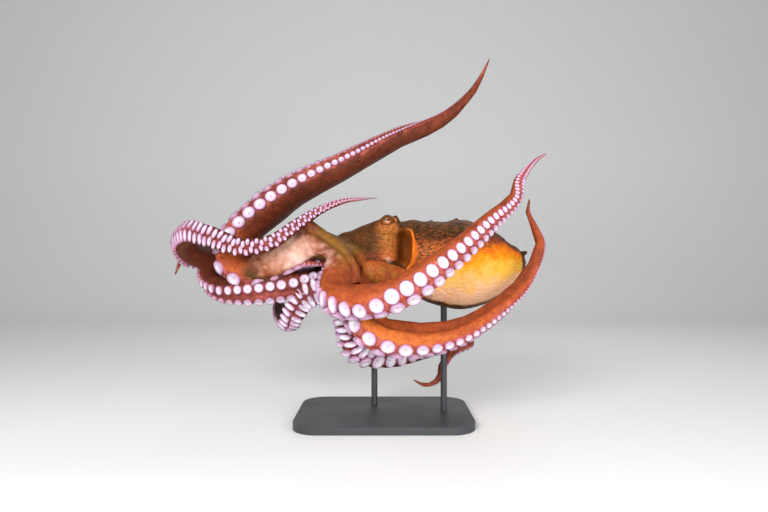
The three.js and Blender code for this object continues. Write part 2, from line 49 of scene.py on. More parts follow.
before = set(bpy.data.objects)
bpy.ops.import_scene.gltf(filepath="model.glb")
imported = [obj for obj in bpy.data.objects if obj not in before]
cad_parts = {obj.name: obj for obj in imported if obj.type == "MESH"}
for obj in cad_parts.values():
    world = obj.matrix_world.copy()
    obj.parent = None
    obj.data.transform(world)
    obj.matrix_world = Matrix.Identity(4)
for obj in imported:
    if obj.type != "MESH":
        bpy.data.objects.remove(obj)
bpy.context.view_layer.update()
FLESH = sorted(
    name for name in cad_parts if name.startswith(("arm_", "web_", "head", "mantle", "crown", "siphon"))
)

# ---------------------------------------------------------------- directions and places
FORE, AFT, LEFT, RIGHT, UP, DOWN = (
    np.array(way, float) for way in ((-1, 0, 0), (1, 0, 0), (0, -1, 0), (0, 1, 0), (0, 0, 1), (0, 0, -1))
)
EYE_PLACE = np.array([8.0, 50.0, 83.0])
EYE_RADIUS = 15.0
GAZE = (-0.12, 1.0, 0.1)  # the way that the right eye looks


def box_middle(node):
    low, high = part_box(node)
    return (low + high) / 2


# where the animal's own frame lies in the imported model's, in metres
ORIGIN = np.array([*box_middle("stand_base").xy, box_middle("eye_left").z - EYE_PLACE[2] / 1000])


def to_frame(points):
    """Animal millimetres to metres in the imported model's frame."""
    return np.asarray(points, float) / 1000 + ORIGIN


def from_frame(mesh):
    """A mesh's points in animal millimetres."""
    return (numbers(mesh.vertices, "co", 3).astype(float) - ORIGIN) * 1000


def unit(vectors):
    """Vectors brought to length 1."""
    vectors = np.asarray(vectors, float)
    return vectors / np.maximum(np.linalg.norm(vectors, axis=-1, keepdims=True), 1e-9)


def smooth_step(low, high, value):
    """0 at low, 1 at high, with soft ends."""
    part = np.clip((value - low) / (high - low), 0, 1)
    return part * part * (3 - 2 * part)


def bump_at(middle, spread, value):
    """1 at the middle, falling to 0 like a bell."""
    return np.exp(-(((value - middle) / spread) ** 2))


def table(pairs, value):
    """Read between the rows of a table of (place, size)."""
    places, sizes = zip(*pairs)
    return np.interp(value, places, sizes)


# ---------------------------------------------------------------- the eight arms
def at(x, y, z, *ways):
    """A point on an arm's middle line, and the ways that its suckers face there."""
    return (x, y, z), (unit(sum(ways)) if ways else None)


# clock: degrees round the crown from its top, towards the left. width: half width at the root. fullness: how
# long the arm stays thick. keel: depth of the back in half widths. girth: the arm's own swelling and narrowing.
# folds: (turn, spread, depth, from, to) creases. warmth: 0 dark brown to 1 bright orange; beside the skin's own
# colour it carries painted light and shade, higher on the lit arms and lower on the shaded ones.
# Of the suckers: cups is their size against the other arms', tint how lilac and dark they are (partly their own
# colour, partly painted shade on the arms in shade and at the upper left arm's root), apart the distance of a row
# from the arm's middle in half widths, pitch the step from one to the next in diameters, press their length along
# the arm against their width, and stagger how far each second one stands towards the arm's middle.
# A table of pairs runs along the arm: (share of its length, size there).
EVEN = ((0, 1), (1, 1))
NONE = ((0, 0), (1, 0))
PLAIN_ARM = dict(
    apart=((0, 0.51), (1, 0.53)), pitch=((0, 1.03), (1, 1)), press=EVEN, girth=EVEN, stagger=NONE, folds=(),
    cups=((0, 1), (0.4, 1), (0.8, 0.75), (1, 0.7)), tint=((0, 0.15), (0.5, 0.35), (0.85, 0.85), (1, 0.9)),
)
ARMS = {
    "left_1": dict(
        clock=24, width=40, fullness=3,
        keel=(
            (0, 0.8), (0.06, 1.2), (0.1, 1.7), (0.15, 1.6), (0.22, 1.05), (0.32, 1.45), (0.45, 2.1), (0.6, 1.65),
            (1, 1),
        ),
        cups=((0, 0.6), (0.09, 0.6), (0.14, 1), (0.4, 1), (0.5, 0.85), (0.6, 0.62), (0.7, 0.42), (0.8, 0.3), (1, 0.3)),
        tint=((0, 1), (0.1, 1), (0.14, 0.35), (0.45, 0.45), (0.6, 0.7), (0.75, 1), (1, 1)),
        warmth=((0, 0.5), (0.25, 0.3), (0.38, 0.2), (0.7, 0.24), (1, 0.45)),
        folds=((150, 14, 0.1, 0.42, 0.95), (-150, 14, 0.08, 0.5, 0.9)),
        path=(
            at(-210, -5, 8, DOWN, DOWN, RIGHT), at(-300, 0, -28, DOWN, DOWN, RIGHT),
            at(-357, 4, -44, DOWN, DOWN, LEFT), at(-396, 18, -12, FORE, FORE),
            at(-392, 36, 42, FORE, LEFT), at(-352, 53, 95, FORE, FORE, LEFT, LEFT, UP),
            at(-260, 70, 170, FORE, FORE, LEFT, LEFT, LEFT, UP, UP),
            at(-105, 95, 250, FORE, FORE, LEFT, LEFT, LEFT, UP, UP, UP),
            at(30, 110, 320, LEFT, LEFT, UP, UP, UP, UP), at(160, 120, 375, UP, UP, FORE),
            at(235, 120, 440, FORE, UP, RIGHT), at(270, 115, 500), at(285, 110, 535, FORE, FORE, UP),
        ),
    ),
    "left_2": dict(
        clock=68, width=42, fullness=2.3, keel=((0, 1.1), (0.3, 1.15), (1, 1)),
        apart=((0, 0.5), (0.25, 0.43), (1, 0.46)),
        cups=((0, 1), (0.2, 1.08), (0.5, 1.06), (0.8, 0.85), (1, 0.8)),
        pitch=((0, 0.48), (0.22, 0.48), (0.26, 0.6), (0.31, 0.82), (0.42, 0.95), (0.55, 0.82), (0.7, 0.74), (1, 0.66)),
        press=((0, 0.4), (0.22, 0.42), (0.26, 0.55), (0.31, 0.8), (0.42, 0.95), (0.55, 0.79), (0.7, 0.69), (1, 0.6)),
        tint=((0, 0), (0.5, 0.2), (0.75, 0.6), (0.9, 1), (1, 1)),
        warmth=((0, 0.85), (0.15, 0.75), (0.5, 0.7), (0.8, 0.45), (1, 0.7)),
        path=(
            at(-113, -108, -64, FORE, DOWN), at(-106, -165, -97, FORE, DOWN, LEFT),
            at(-40, -205, -100, LEFT, DOWN, DOWN), at(30, -220, -80, LEFT, LEFT, LEFT, DOWN, DOWN),
            at(140, -225, -5, LEFT, LEFT, LEFT, DOWN, DOWN), at(230, -210, 75, LEFT, LEFT, LEFT, DOWN, DOWN),
            at(285, -195, 125, LEFT, LEFT, DOWN, AFT), at(300, -185, 170, LEFT), at(335, -170, 210),
            at(365, -170, 230, FORE, LEFT, UP),
        ),
    ),
    "left_3": dict(
        clock=112, width=40, fullness=2.4, keel=((0, 1.1), (0.25, 1.4), (0.5, 1.45), (0.75, 1.15), (1, 1)),
        cups=((0, 1), (0.35, 0.98), (0.5, 0.75), (0.7, 0.5), (1, 0.45)),
        girth=((0, 1), (0.35, 1), (0.55, 0.8), (0.8, 0.82), (1, 1)), tint=((0, 0), (0.4, 0.15), (0.7, 0.5), (1, 0.9)),
        warmth=((0, 1), (0.4, 0.9), (0.6, 0.7), (1, 0.6)),
        folds=((-118, 11, 0.34, 0.16, 0.85), (-92, 14, -0.08, 0.16, 0.85), (-144, 14, -0.08, 0.16, 0.85)),
        path=(
            at(-70, -108, -116, FORE, DOWN, LEFT), at(-25, -150, -178, LEFT, DOWN, FORE),
            at(65, -160, -195, LEFT, DOWN, DOWN), at(165, -150, -180, LEFT, DOWN, DOWN),
            at(255, -130, -130, LEFT, DOWN, DOWN, AFT), at(330, -105, -60, AFT, DOWN), at(370, -90, 25, AFT),
            at(360, -80, 65, AFT, UP), at(345, -70, 105, AFT), at(350, -65, 140, AFT),
        ),
    ),
    "left_4": dict(
        clock=157, width=36, fullness=2.2, keel=((0, 1.1), (1, 1)),
        pitch=((0, 0.45), (0.26, 0.45), (0.34, 0.95), (1, 1)), press=((0, 0.38), (0.26, 0.4), (0.34, 0.9), (1, 1)),
        cups=((0, 1.1), (0.24, 1.1), (0.32, 1.3), (0.5, 1.2), (0.7, 0.8), (1, 0.7)),
        tint=((0, 0.05), (0.5, 0.05), (1, 0.9)),
        warmth=((0, 0.2), (0.3, 0.05), (0.7, 0.3), (1, 0.5)),
        path=(
            at(-90, -50, -120, FORE), at(-85, -50, -175, FORE, FORE, LEFT), at(-70, -35, -222, FORE, LEFT, LEFT),
            at(10, 35, -255, LEFT, LEFT, LEFT, UP), at(100, 95, -250, LEFT, LEFT, UP), at(170, 113, -230, DOWN),
            at(217, 92, -220, DOWN), at(212, 47, -226, DOWN), at(172, 32, -248, DOWN, AFT),
            at(150, 30, -284, AFT), at(138, 25, -316, AFT, DOWN), at(105, 20, -328, DOWN), at(70, 10, -310, DOWN),
        ),
    ),
    "right_4": dict(
        clock=-157, width=35, fullness=2.2, keel=((0, 1.1), (1, 1)),
        pitch=((0, 0.5), (0.6, 0.47), (1, 0.6)), press=((0, 0.4), (0.6, 0.4), (1, 0.6)), cups=((0, 1.3), (1, 1.1)),
        tint=((0, 0.1), (0.5, 0.15), (1, 0.6)), warmth=((0, 0.2), (0.4, 0.02), (1, 0.15)),
        path=(
            at(-155, 0, -85, LEFT), at(-200, 8, -106, LEFT), at(-226, 20, -142, LEFT),
            at(-248, 50, -170, LEFT, DOWN), at(-272, 98, -166, DOWN, FORE), at(-288, 145, -135, FORE, RIGHT),
            at(-284, 175, -104, RIGHT, UP), at(-262, 192, -90, UP), at(-240, 205, -104, AFT, UP),
        ),
    ),
    "right_3": dict(
        clock=-112, width=38, fullness=2.4, keel=((0, 1.2), (0.3, 1.1), (1, 1)),
        pitch=((0, 1.1), (0.36, 1.05), (0.5, 0.85), (1, 0.9)), press=((0, 1.1), (0.36, 1.0), (0.5, 0.7), (1, 0.7)),
        cups=((0, 0.7), (0.4, 0.72), (0.5, 0.85), (1, 0.7)), tint=((0, 0.45), (0.5, 0.5), (1, 0.9)),
        warmth=((0, 0.1), (0.5, 0.15), (1, 0.5)),
        path=(
            at(-170, 20, -70, LEFT), at(-250, 5, -78, LEFT, LEFT, DOWN), at(-335, 5, -88, LEFT, LEFT, DOWN),
            at(-415, 30, -85, DOWN, FORE, LEFT), at(-468, 90, -58, FORE, FORE, DOWN),
            at(-476, 150, -10, FORE, FORE, RIGHT), at(-464, 180, 38, RIGHT), at(-492, 194, 66, RIGHT),
            at(-530, 182, 45, RIGHT), at(-556, 155, 0, FORE, RIGHT), at(-570, 125, -55, FORE),
        ),
    ),
    "right_2": dict(
        clock=-68, width=38, fullness=2.4, keel=((0, 1.1), (0.4, 1.2), (1, 1)),
        warmth=((0, 0.5), (0.5, 0.5), (1, 0.6)), folds=((140, 14, 0.12, 0.2, 0.8),),
        path=(
            at(-172, 95, 4, FORE, DOWN), at(-162, 155, 14, FORE, DOWN), at(-105, 205, 18, RIGHT, DOWN, FORE),
            at(5, 240, 14, RIGHT, DOWN), at(135, 260, -12, RIGHT, DOWN), at(265, 250, -35, RIGHT, DOWN),
            at(345, 215, -15, AFT, RIGHT), at(340, 185, 30, AFT, UP), at(270, 175, 45, UP),
            at(220, 180, 15, FORE, UP),
        ),
    ),
    "right_1": dict(
        clock=-24, width=38, fullness=2.2, keel=((0, 0.8), (0.1, 1.1), (0.3, 1.1), (1, 0.95)),
        pitch=((0, 1), (0.28, 0.6), (0.36, 0.34), (0.55, 0.34), (0.64, 0.5), (0.75, 0.75), (1, 0.85)),
        press=((0, 1), (0.28, 0.5), (0.36, 0.26), (0.55, 0.27), (0.64, 0.42), (0.75, 0.7), (1, 0.85)),
        cups=((0, 0.95), (0.3, 1.05), (0.38, 1.25), (0.6, 1.2), (0.72, 0.85), (1, 0.7)),
        stagger=((0, 0), (0.55, 0), (0.7, 0.5), (1, 0.5)),
        tint=((0, 0.5), (0.4, 0.5), (0.62, 0.65), (0.75, 1), (1, 1)),
        warmth=((0, 0.4), (0.5, 0.25), (0.8, 0.1), (1, 0.4)),
        path=(
            at(-225, 105, -10, DOWN, RIGHT), at(-325, 118, -16, RIGHT, RIGHT, DOWN), at(-405, 116, -14, RIGHT),
            at(-472, 92, -6, FORE, RIGHT, RIGHT), at(-505, 50, 10, FORE), at(-505, 0, 37, FORE, FORE, LEFT, UP),
            at(-472, -40, 56, FORE, LEFT, LEFT, UP), at(-420, -60, 48, LEFT), at(-348, -70, 22, LEFT),
            at(-275, -75, 30, LEFT), at(-210, -70, 74, LEFT), at(-152, -65, 112, LEFT),
            at(-95, -60, 133, LEFT, LEFT, UP), at(-15, -50, 140, LEFT, UP),
        ),
    ),
}

TIP_HALF_WIDTH = 2.0
BACK_NARROWING = 0.35  # how much narrower an arm's back is than its middle
ORAL_DEPTH = 0.75  # depth of the sucker side, in half widths
GROOVE_DEPTH, GROOVE_SPREAD = 0.16, 0.3  # of the furrow between the two rows of suckers
BEND_SPAN = 15.0
BEND_ROOM = 0.8  # how near to the middle of a bend the skin may come
CROWN_MIDDLE = np.array([-100.0, -25.0, -35.0])
CROWN_AXIS = unit([-0.81, -0.27, -0.52])  # out of the mouth
CROWN_RADIUS = 56.0
HEAD_RING_RADIUS = 26.0  # the arms begin on this ring inside the head
HEAD_RING_BACK = 55.0
CROWN_TOP = unit(UP - CROWN_AXIS * (UP @ CROWN_AXIS))
CROWN_LEFT = unit(np.cross(CROWN_TOP, CROWN_AXIS))

# The webs: reach along the two arms, rise up their backs in half widths, tuck of that rise towards the crown,
# pull of the free edge, belly of the sheet, lean: where the free edge hangs lowest, rim: how much thicker the
# free edge is, and from where.
WEB_SCALLOP = 0.25
PLAIN_WEB = dict(rise=(0.4, 0.4), pull=(0, 0, 0), belly=(0, 0, 0), lean=0.5, rim=1.5, rim_from=0.84, tuck=0)
WEBS = tuple({**PLAIN_WEB, **own} for own in (
    dict(
        arms=("left_1", "left_2"), reach=(110, 195), rise=(2.1, 1.25), tuck=0.75, pull=(12, -20, 18),
        belly=(34, -15, 0), lean=0.62, rim=8, rim_from=0.55,
    ),
    dict(arms=("left_2", "left_3"), reach=(240, 230)),
    dict(arms=("left_3", "left_4"), reach=(190, 180)),
    dict(arms=("left_4", "right_4"), reach=(150, 150)),
    dict(arms=("right_4", "right_3"), reach=(170, 180)),
    dict(arms=("right_3", "right_2"), reach=(190, 170), belly=(20, 25, 0)),
    dict(arms=("right_2", "right_1"), reach=(190, 190), belly=(25, 20, 20)),
    dict(arms=("right_1", "left_1"), reach=(200, 180), belly=(10, 0, 15)),
))

# x, y, z of the middle, half height and half width of sections across the body.
MANTLE_SECTIONS = (
    (66, 0, 10, 74, 72), (88, 0, 5, 89, 84), (140, 0, -14, 110, 105), (196, 0, -22, 115, 112),
    (254, 0, -23, 99, 98), (304, 0, -22, 70, 71), (336, 0, -17, 41, 42), (354, 0, -15, 10, 10),
)
HEAD_SECTIONS = (
    (92, 0, 14, 62, 44), (60, 0, 15, 73, 51), (36, 0, 16, 73, 57), (14, 0, 14, 78, 72),
    (-14, 0, 8, 80, 76), (-55, -5, -4, 74, 78), (-95, -20, -26, 62, 72),
)
SIPHON_SECTIONS = (
    (78, -42, -48, 20, 18), (30, -66, -48, 24, 22), (-8, -82, -41, 27, 25), (-34, -90, -36, 26, 24),
    (-52, -92, -34, 16, 14),
)
# middle and radii of the swellings of the head; the sides' own ones are mirrored
NAPE = ((74, 0, 26), (66, 60, 65))
FORE_HEAD = ((-80, -10, 22), (52, 44, 40))
BROW = ((4, 34, 64), (46, 36, 27))
BROW_RIDGE = ((22, 38, 83), (18, 15, 15))
ORBIT_PLACE = np.array([8.0, 43.0, 74.0])
ORBIT_RADII = np.array([27.0, 22.0, 23.0])
OPENING_PLACE = np.array([50.0, 66.0, 22.0])
OPENING_RADII = np.array([18.5, 40.0, 46.0])
OPENING_ROUNDNESS = 0.72  # 1 is an ellipsoid, less is squarer
OPENING_BORDER = 1.12  # to where the skin round a hollow stays smooth
EYE_OPENING = (0.98, 0.52)  # half length and half height of the gap between the lids, in eye radii
LID_ARCH = (1.02, 0.58)  # half length and half height of the lids' middle line, in the same measure
UPPER_LID, LOWER_LID = 3.4, 2.6  # thickness at their middle
EYE_COVER = 2.2  # skin over the eyeball
LID_COVER = 1.6  # how far the lids' middle line lies outside it
# the mantle's free edge round its opening: middle x and z of the ring, its radii, and its thickness by angle
LIP_PLACE, LIP_RADII = (55, 21), (17, 46)
LIP_THICKNESS = ((-1.5, 3), (-0.6, 5.4), (0.9, 4.6), (1.9, 2.2))
# along the crown's axis and radius: the flesh round the mouth
CROWN_CORE = ((-52, 50), (-30, 57), (-5, 57), (8, 50), (16, 38), (20, 24))
MOUTH_LIPS = ((20, 19, 6), (24, 12, 4))  # along the axis, radius, thickness
MOUTH_BORE = ((2, 7), (10, 10), (20, 9), (30, 13))  # along the axis, radius
SIPHON_BORE = ((-28, 5), (-20, 8), (-8, 9), (0, 10), (8, 14))  # from the siphon's end, radius


class Line:
    """A centripetal Catmull-Rom curve, read by its own parameter or by a share of its length."""

    def __init__(self, points):
        self.points = np.asarray(points, float)
        self.steps = np.linspace(0, 1, 200 * len(points) + 1)
        legs = np.linalg.norm(np.diff(self.at(self.steps), axis=0), axis=1)
        self.run = np.concatenate([[0], np.cumsum(legs)])
        self.length = self.run[-1]

    def at(self, t):
        points, last = self.points, len(self.points) - 1
        place = np.clip(t, 0, 1) * last
        i = np.minimum(place.astype(int), last - 1)
        w = (place - i)[:, None]
        padded = np.vstack([2 * points[0] - points[1], points, 2 * points[-1] - points[-2]])
        a, b, c, d = (padded[i + k] for k in range(4))
        legs = (b - a, c - b, d - c)
        before, own, after = (np.maximum(np.linalg.norm(leg, axis=1, keepdims=True) ** 0.5, 1e-4) for leg in legs)
        start = ((b - a) / before - (c - a) / (before + own) + (c - b) / own) * own
        end = ((c - b) / own - (d - b) / (own + after) + (d - c) / after) * own
        return b + w * start + w**2 * (3 * (c - b) - 2 * start - end) + w**3 * (2 * (b - c) + start + end)

    def tangent(self, t):
        return unit(self.at(np.clip(t + 1e-4, 0, 1)) - self.at(np.clip(t - 1e-4, 0, 1)))

    def parameter(self, share):
        return np.interp(np.clip(share, 0, 1) * self.length, self.run, self.steps)


def outward(clock):
    turn = math.radians(clock)
    return CROWN_TOP * math.cos(turn) + CROWN_LEFT * math.sin(turn)


class Arm:
    """An arm's middle line from inside the head to its tip, and the skin round it."""

    def __init__(self, name, facts):
        self.name = name
        self.__dict__.update({**PLAIN_ARM, **facts})
        out = outward(self.clock)
        ring = CROWN_MIDDLE + out * CROWN_RADIUS
        start = CROWN_MIDDLE + out * HEAD_RING_RADIUS - CROWN_AXIS * HEAD_RING_BACK
        inward = unit(CROWN_AXIS - out)
        stops = [(start, inward), (ring, inward), *self.path]
        self.line = Line([point for point, _ in stops])
        self.length = self.line.length
        self.last = len(stops) - 1
        self.faced = np.array([i for i, (_, faces) in enumerate(stops) if faces is not None])
        self.faces = np.array([faces for _, faces in stops if faces is not None])
        self.ring_share = np.linalg.norm(ring - start) / self.length

    def half_width(self, share):
        taper = 1 - np.clip(share, 0, 1) ** self.fullness
        return TIP_HALF_WIDTH + (self.width - TIP_HALF_WIDTH) * taper * table(self.girth, share)

    def frame(self, share):
        """Middle, ahead, the suckers' way, the side and the half width at every share."""
        t = self.line.parameter(share)
        ahead = self.line.tangent(t)
        place = t * self.last
        k = np.clip(np.searchsorted(self.faced, place + 1e-9, side="right") - 1, 0, len(self.faced) - 2)
        low, high = self.faced[k], self.faced[k + 1]
        part = smooth_step(low, high, place)[:, None]
        face = self.faces[k] * (1 - part) + self.faces[k + 1] * part
        face = unit(face - ahead * np.sum(face * ahead, axis=1, keepdims=True))
        return self.line.at(t), ahead, face, np.cross(ahead, face), self.half_width(share)

    def bend(self, share):
        """How sharply the middle line turns, as a vector towards the inside of the bend."""
        span = BEND_SPAN / self.length
        before, after = np.clip(share - span, 0, 1), np.clip(share + span, 0, 1)
        turned = self.line.tangent(self.line.parameter(after)) - self.line.tangent(self.line.parameter(before))
        return turned / ((after - before) * self.length)[:, None]

    def surface(self, share, turn, fit):
        """Points of the skin at every share and turn, as an array of shape (shares, turns, 3)."""
        middle, _, face, side, width = self.frame(share)
        wide = (width * fit)[:, None]
        out, sway = np.cos(turn)[None, :], np.sin(turn)[None, :]
        across = sway * np.where(out < 0, 1 - BACK_NARROWING * out * out, 1) * wide
        groove = 1 - GROOVE_DEPTH * bump_at(0, GROOVE_SPREAD, turn[None, :])
        keel = table(self.keel, share)[:, None]
        height = np.where(out > 0, ORAL_DEPTH * out * groove, keel * out) * wide
        for place, spread, depth, start, end in self.folds:
            off = np.degrees(np.angle(np.exp(1j * (turn - math.radians(place)))))
            along = smooth_step(start, start + 0.06, share) * (1 - smooth_step(end - 0.06, end, share))
            shrink = 1 - depth * along[:, None] * bump_at(0, spread, off[None, :])
            across, height = across * shrink, height * shrink
        way = side[:, None, :] * across[..., None] + face[:, None, :] * height[..., None]
        bend = self.bend(share)[:, None, :]
        excess = np.sum(way * bend, axis=2, keepdims=True) - BEND_ROOM
        sharp = np.maximum(np.sum(bend * bend, axis=2, keepdims=True), 1e-9)
        way = way - np.where(excess > 0, bend * excess / sharp, 0)
        return middle[:, None, :] + way


ARM = {name: Arm(name, facts) for name, facts in ARMS.items()}


# ---------------------------------------------------------------- pattern functions over points
def lattice_value(cells, seed):
    """A repeatable number from 0 to 1 for each whole-numbered cell."""
    x, y, z = (cells[..., i].astype(np.int64) for i in range(3))
    mixed = (x * 73856093) ^ (y * 19349663) ^ (z * 83492791) ^ (seed * 2654435761)
    mixed = (mixed ^ (mixed >> 13)) * 1274126177 & 0x7FFFFFFF
    mixed = (mixed ^ (mixed >> 16)) & 0xFFFF
    return mixed / 65535.0


def soft_noise(points, size, seed=0):
    """Smooth value noise from -1 to 1 with lumps of about the given size."""
    places = points / size
    cell = np.floor(places)
    part = places - cell
    part = part * part * (3 - 2 * part)
    total = np.zeros(len(points))
    for corner in range(8):
        step = np.array([(corner >> i) & 1 for i in range(3)])
        weight = np.prod(np.where(step, part, 1 - part), axis=1)
        total += weight * lattice_value(cell + step, seed)
    return total * 2 - 1


def layered_noise(points, size, layers=3, seed=0):
    total = sum(soft_noise(points, size / 2**i, seed + i) / 2**i for i in range(layers))
    return total / (2 - 2.0 ** (1 - layers))


def cell_edges(points, size, seed=0):
    """How near each point is to the border between two cells: 0 at the border, growing inwards."""
    places = points / size
    cell = np.floor(places)
    first = np.full(len(points), 9.0)
    second = np.full(len(points), 9.0)
    for corner in range(27):
        step = np.array([corner % 3 - 1, corner // 3 % 3 - 1, corner // 9 - 1])
        own = cell + step
        middle = own + 0.5 + 0.8 * (np.stack([lattice_value(own, seed + i) for i in range(3)], axis=1) - 0.5)
        away = np.linalg.norm(places - middle, axis=1)
        nearer = away < first
        second = np.where(nearer, first, np.minimum(second, away))
        first = np.where(nearer, away, first)
    return second - first


# ---------------------------------------------------------------- shells of flesh
# share: how far along an arm, or out on a web. oral: 1 on the sucker side, -1 on the back. sway: the side of an
# arm or web. edge: 1 at a free edge. along, across, deep: where the skin's pattern lies on an arm, in millimetres.
FACTS = ("share", "oral", "sway", "arm", "mantle", "head", "siphon", "warmth", "edge", "along", "across", "deep")
WEB_PATTERN = (120, 150)  # millimetres of pattern along a web and out on it


class Shells:
    """Closed shells that together make the flesh, and what each of their points knows about itself."""

    def __init__(self):
        self.points, self.faces, self.facts, self.labels, self.count = [], [], [], [], 0

    def add(self, grid, label="", **facts):
        """A tube from a grid of points whose columns run round it, closed at both ends."""
        rows, columns = grid.shape[:2]
        first = self.count
        i, j = np.meshgrid(np.arange(rows - 1), np.arange(columns), indexing="ij")
        beyond = (j + 1) % columns
        quads = [i * columns + j, (i + 1) * columns + j, (i + 1) * columns + beyond, i * columns + beyond]
        self.faces += (np.stack(quads, axis=-1).reshape(-1, 4) + first).tolist()
        start, end = first + rows * columns, first + rows * columns + 1
        last = first + (rows - 1) * columns
        for k in range(columns):
            after = (k + 1) % columns
            self.faces += [(start, first + k, first + after), (end, last + after, last + k)]
        self.points += [grid.reshape(-1, 3), grid[0].mean(0)[None], grid[-1].mean(0)[None]]
        spread = {
            name: np.broadcast_to(np.asarray(facts.get(name, 0.0), float), (rows, columns)) for name in FACTS
        }
        body = np.stack([spread[name].reshape(-1) for name in FACTS], axis=1)
        ends = [np.stack([spread[name][row].mean() for name in FACTS])[None] for row in (0, -1)]
        self.facts += [body, *ends]
        self.labels += [label] * (rows * columns + 2)
        self.count += rows * columns + 2


def turns(count):
    """Equal turns round a tube, in radians."""
    return np.linspace(0, 2 * np.pi, count, endpoint=False)


def add_arm(shells, arm, step, sides):
    rings = max(12, int(arm.length / step))
    share = np.linspace(0, 1, rings)
    turn = turns(sides)
    shells.add(
        arm.surface(share, turn, SIZES.fit),
        label=arm.name,
        along=(share * arm.length)[:, None],
        across=np.sin(turn)[None, :] * arm.half_width(share)[:, None],
        deep=np.cos(turn)[None, :] * arm.half_width(share)[:, None],
        share=share[:, None],
        oral=np.cos(turn)[None, :],
        sway=np.sin(turn)[None, :],
        arm=1,
        warmth=table(arm.warmth, share)[:, None],
    )


def web_point(web, u, v):
    """Points of a web's middle sheet: u from its first arm to its second, v out to its free edge."""
    edges = [web_edge(web, i, v) for i in (0, 1)]
    part = u[:, None]
    ends = np.array([0.0, 1.0])
    first, last = (web_edge(web, 0, ends) + web_edge(web, 1, ends)) / 2
    drawn = (first - last) * WEB_SCALLOP + np.array(web["pull"], float)
    across = np.maximum(u, 0) ** (math.log(0.5) / math.log(web["lean"]))
    bow = (4 * across * (1 - across))[:, None]
    out = v[:, None]
    sheet = edges[0] * (1 - part) + edges[1] * part
    return sheet + drawn * bow * out**2 + np.array(web["belly"], float) * bow * 4 * out * (1 - out)


def web_edge(web, i, v):
    """Where the web leaves its first or second arm."""
    arm = ARM[web["arms"][i]]
    share = (HEAD_RING_BACK + web["reach"][i] * np.maximum(v, 0)) / arm.length
    middle, _, face, _, width = arm.frame(share)
    rise = web["rise"][i] * (1 - web["tuck"] * (1 - smooth_step(0, 0.8, v)))
    return middle - face * (rise * width)[:, None]


def add_web(shells, web, columns, rows):
    u = np.linspace(0, 1, columns)
    v = (1 - np.linspace(0, 1, rows) ** 1.5)[::-1]  # closer together at the free edge
    loop_v = np.concatenate([v, v[::-1]])
    side = np.concatenate([np.ones(rows), -np.ones(rows)])
    uu, vv = (grid.reshape(-1) for grid in np.meshgrid(u, loop_v, indexing="ij"))
    step = 0.01
    along = web_point(web, uu + step, vv) - web_point(web, uu - step, vv)
    out = web_point(web, uu, vv + step) - web_point(web, uu, vv - step)
    normal = unit(np.cross(along, out))
    thick = SIZES.web_thickness / 2 + web["rim"] * smooth_step(web["rim_from"], web["rim_from"] + 0.12, vv)
    thick = thick * np.sqrt(np.clip((1.0 - vv) / (0.02 * web["rim"]), 0.02, 1))
    points = web_point(web, uu, vv) + normal * (thick * np.tile(side, columns))[:, None]
    grid = points.reshape(columns, 2 * rows, 3)
    warm = np.interp(uu, [0, 1], [table(ARM[name].warmth, 0.1) for name in web["arms"]])
    shells.add(
        grid,
        label="_".join(web["arms"]),
        along=(uu * WEB_PATTERN[0]).reshape(columns, -1),
        across=(vv * WEB_PATTERN[1]).reshape(columns, -1),
        warmth=warm.reshape(columns, -1),
        share=(vv * 0.2).reshape(columns, -1),
        edge=smooth_step(0.55, 1, vv).reshape(columns, -1),
        sway=np.tile(side, columns).reshape(columns, -1),
    )


def body_grid(sections, rings, sides, fit=1.0):
    """A tube of oval sections; fit is its radius as a share of theirs."""
    sections = np.asarray(sections, float)
    middles = Line(sections[:, :3])
    sizes = Line(np.pad(sections[:, 3:], ((0, 0), (0, 1))))
    share = np.linspace(0, 1, rings)
    ahead = middles.tangent(share)
    face = unit(UP - ahead * (ahead @ UP)[:, None])
    side = np.cross(ahead, face)
    size = sizes.at(share) * fit
    turn = turns(sides)
    across = side[:, None] * (size[:, 1, None] * np.sin(turn))[..., None]
    height = face[:, None] * (size[:, 0, None] * np.cos(turn))[..., None]
    return middles.at(share)[:, None] + (across + height)


def ball_grid(middle, radii, rings=20, sides=28, axes=np.eye(3), roundness=1.0):
    """An ellipsoid, or a squarer body where the roundness is below 1."""
    rise = np.linspace(0.02, np.pi - 0.02, rings)[:, None]
    turn = turns(sides)[None, :]
    local = np.stack([np.sin(rise) * np.cos(turn), np.sin(rise) * np.sin(turn), np.cos(rise) + 0 * turn], axis=-1)
    local = np.sign(local) * np.abs(local) ** roundness
    return np.asarray(middle, float) + (local * np.asarray(radii, float)) @ axes


def tube_grid(points, radius, sides=12, closed=False):
    """A round tube along points; radius is a number or one number a point."""
    points = np.asarray(points, float)
    ahead = unit(np.roll(points, -1, 0) - np.roll(points, 1, 0)) if closed else unit(np.gradient(points, axis=0))
    side = unit(np.cross(ahead, np.where(np.abs(ahead @ UP)[:, None] > 0.9, AFT, UP)))
    rise = np.cross(side, ahead)
    turn = turns(sides)
    size = np.broadcast_to(np.asarray(radius, float), (len(points),))[:, None, None]
    way = side[:, None] * np.cos(turn)[None, :, None] + rise[:, None] * np.sin(turn)[None, :, None]
    return points[:, None] + size * way


def mirrored(place, side):
    """A place of the right half, on the side asked for: -1 left, 1 right."""
    return np.array([place[0], place[1] * side, place[2]])


def eye_axes(side):
    """Along the slit, across it, and out of the eye."""
    out = unit(mirrored(GAZE, side))
    along = unit(np.cross(UP, out))
    return np.array([along, np.cross(out, along), out])


def lip_depth(z):
    """How far out the mantle's free edge stands, at a height."""
    return 4 + 74 * np.sqrt(np.clip(1 - ((z - 10) / 80) ** 2, 0.1, 1))


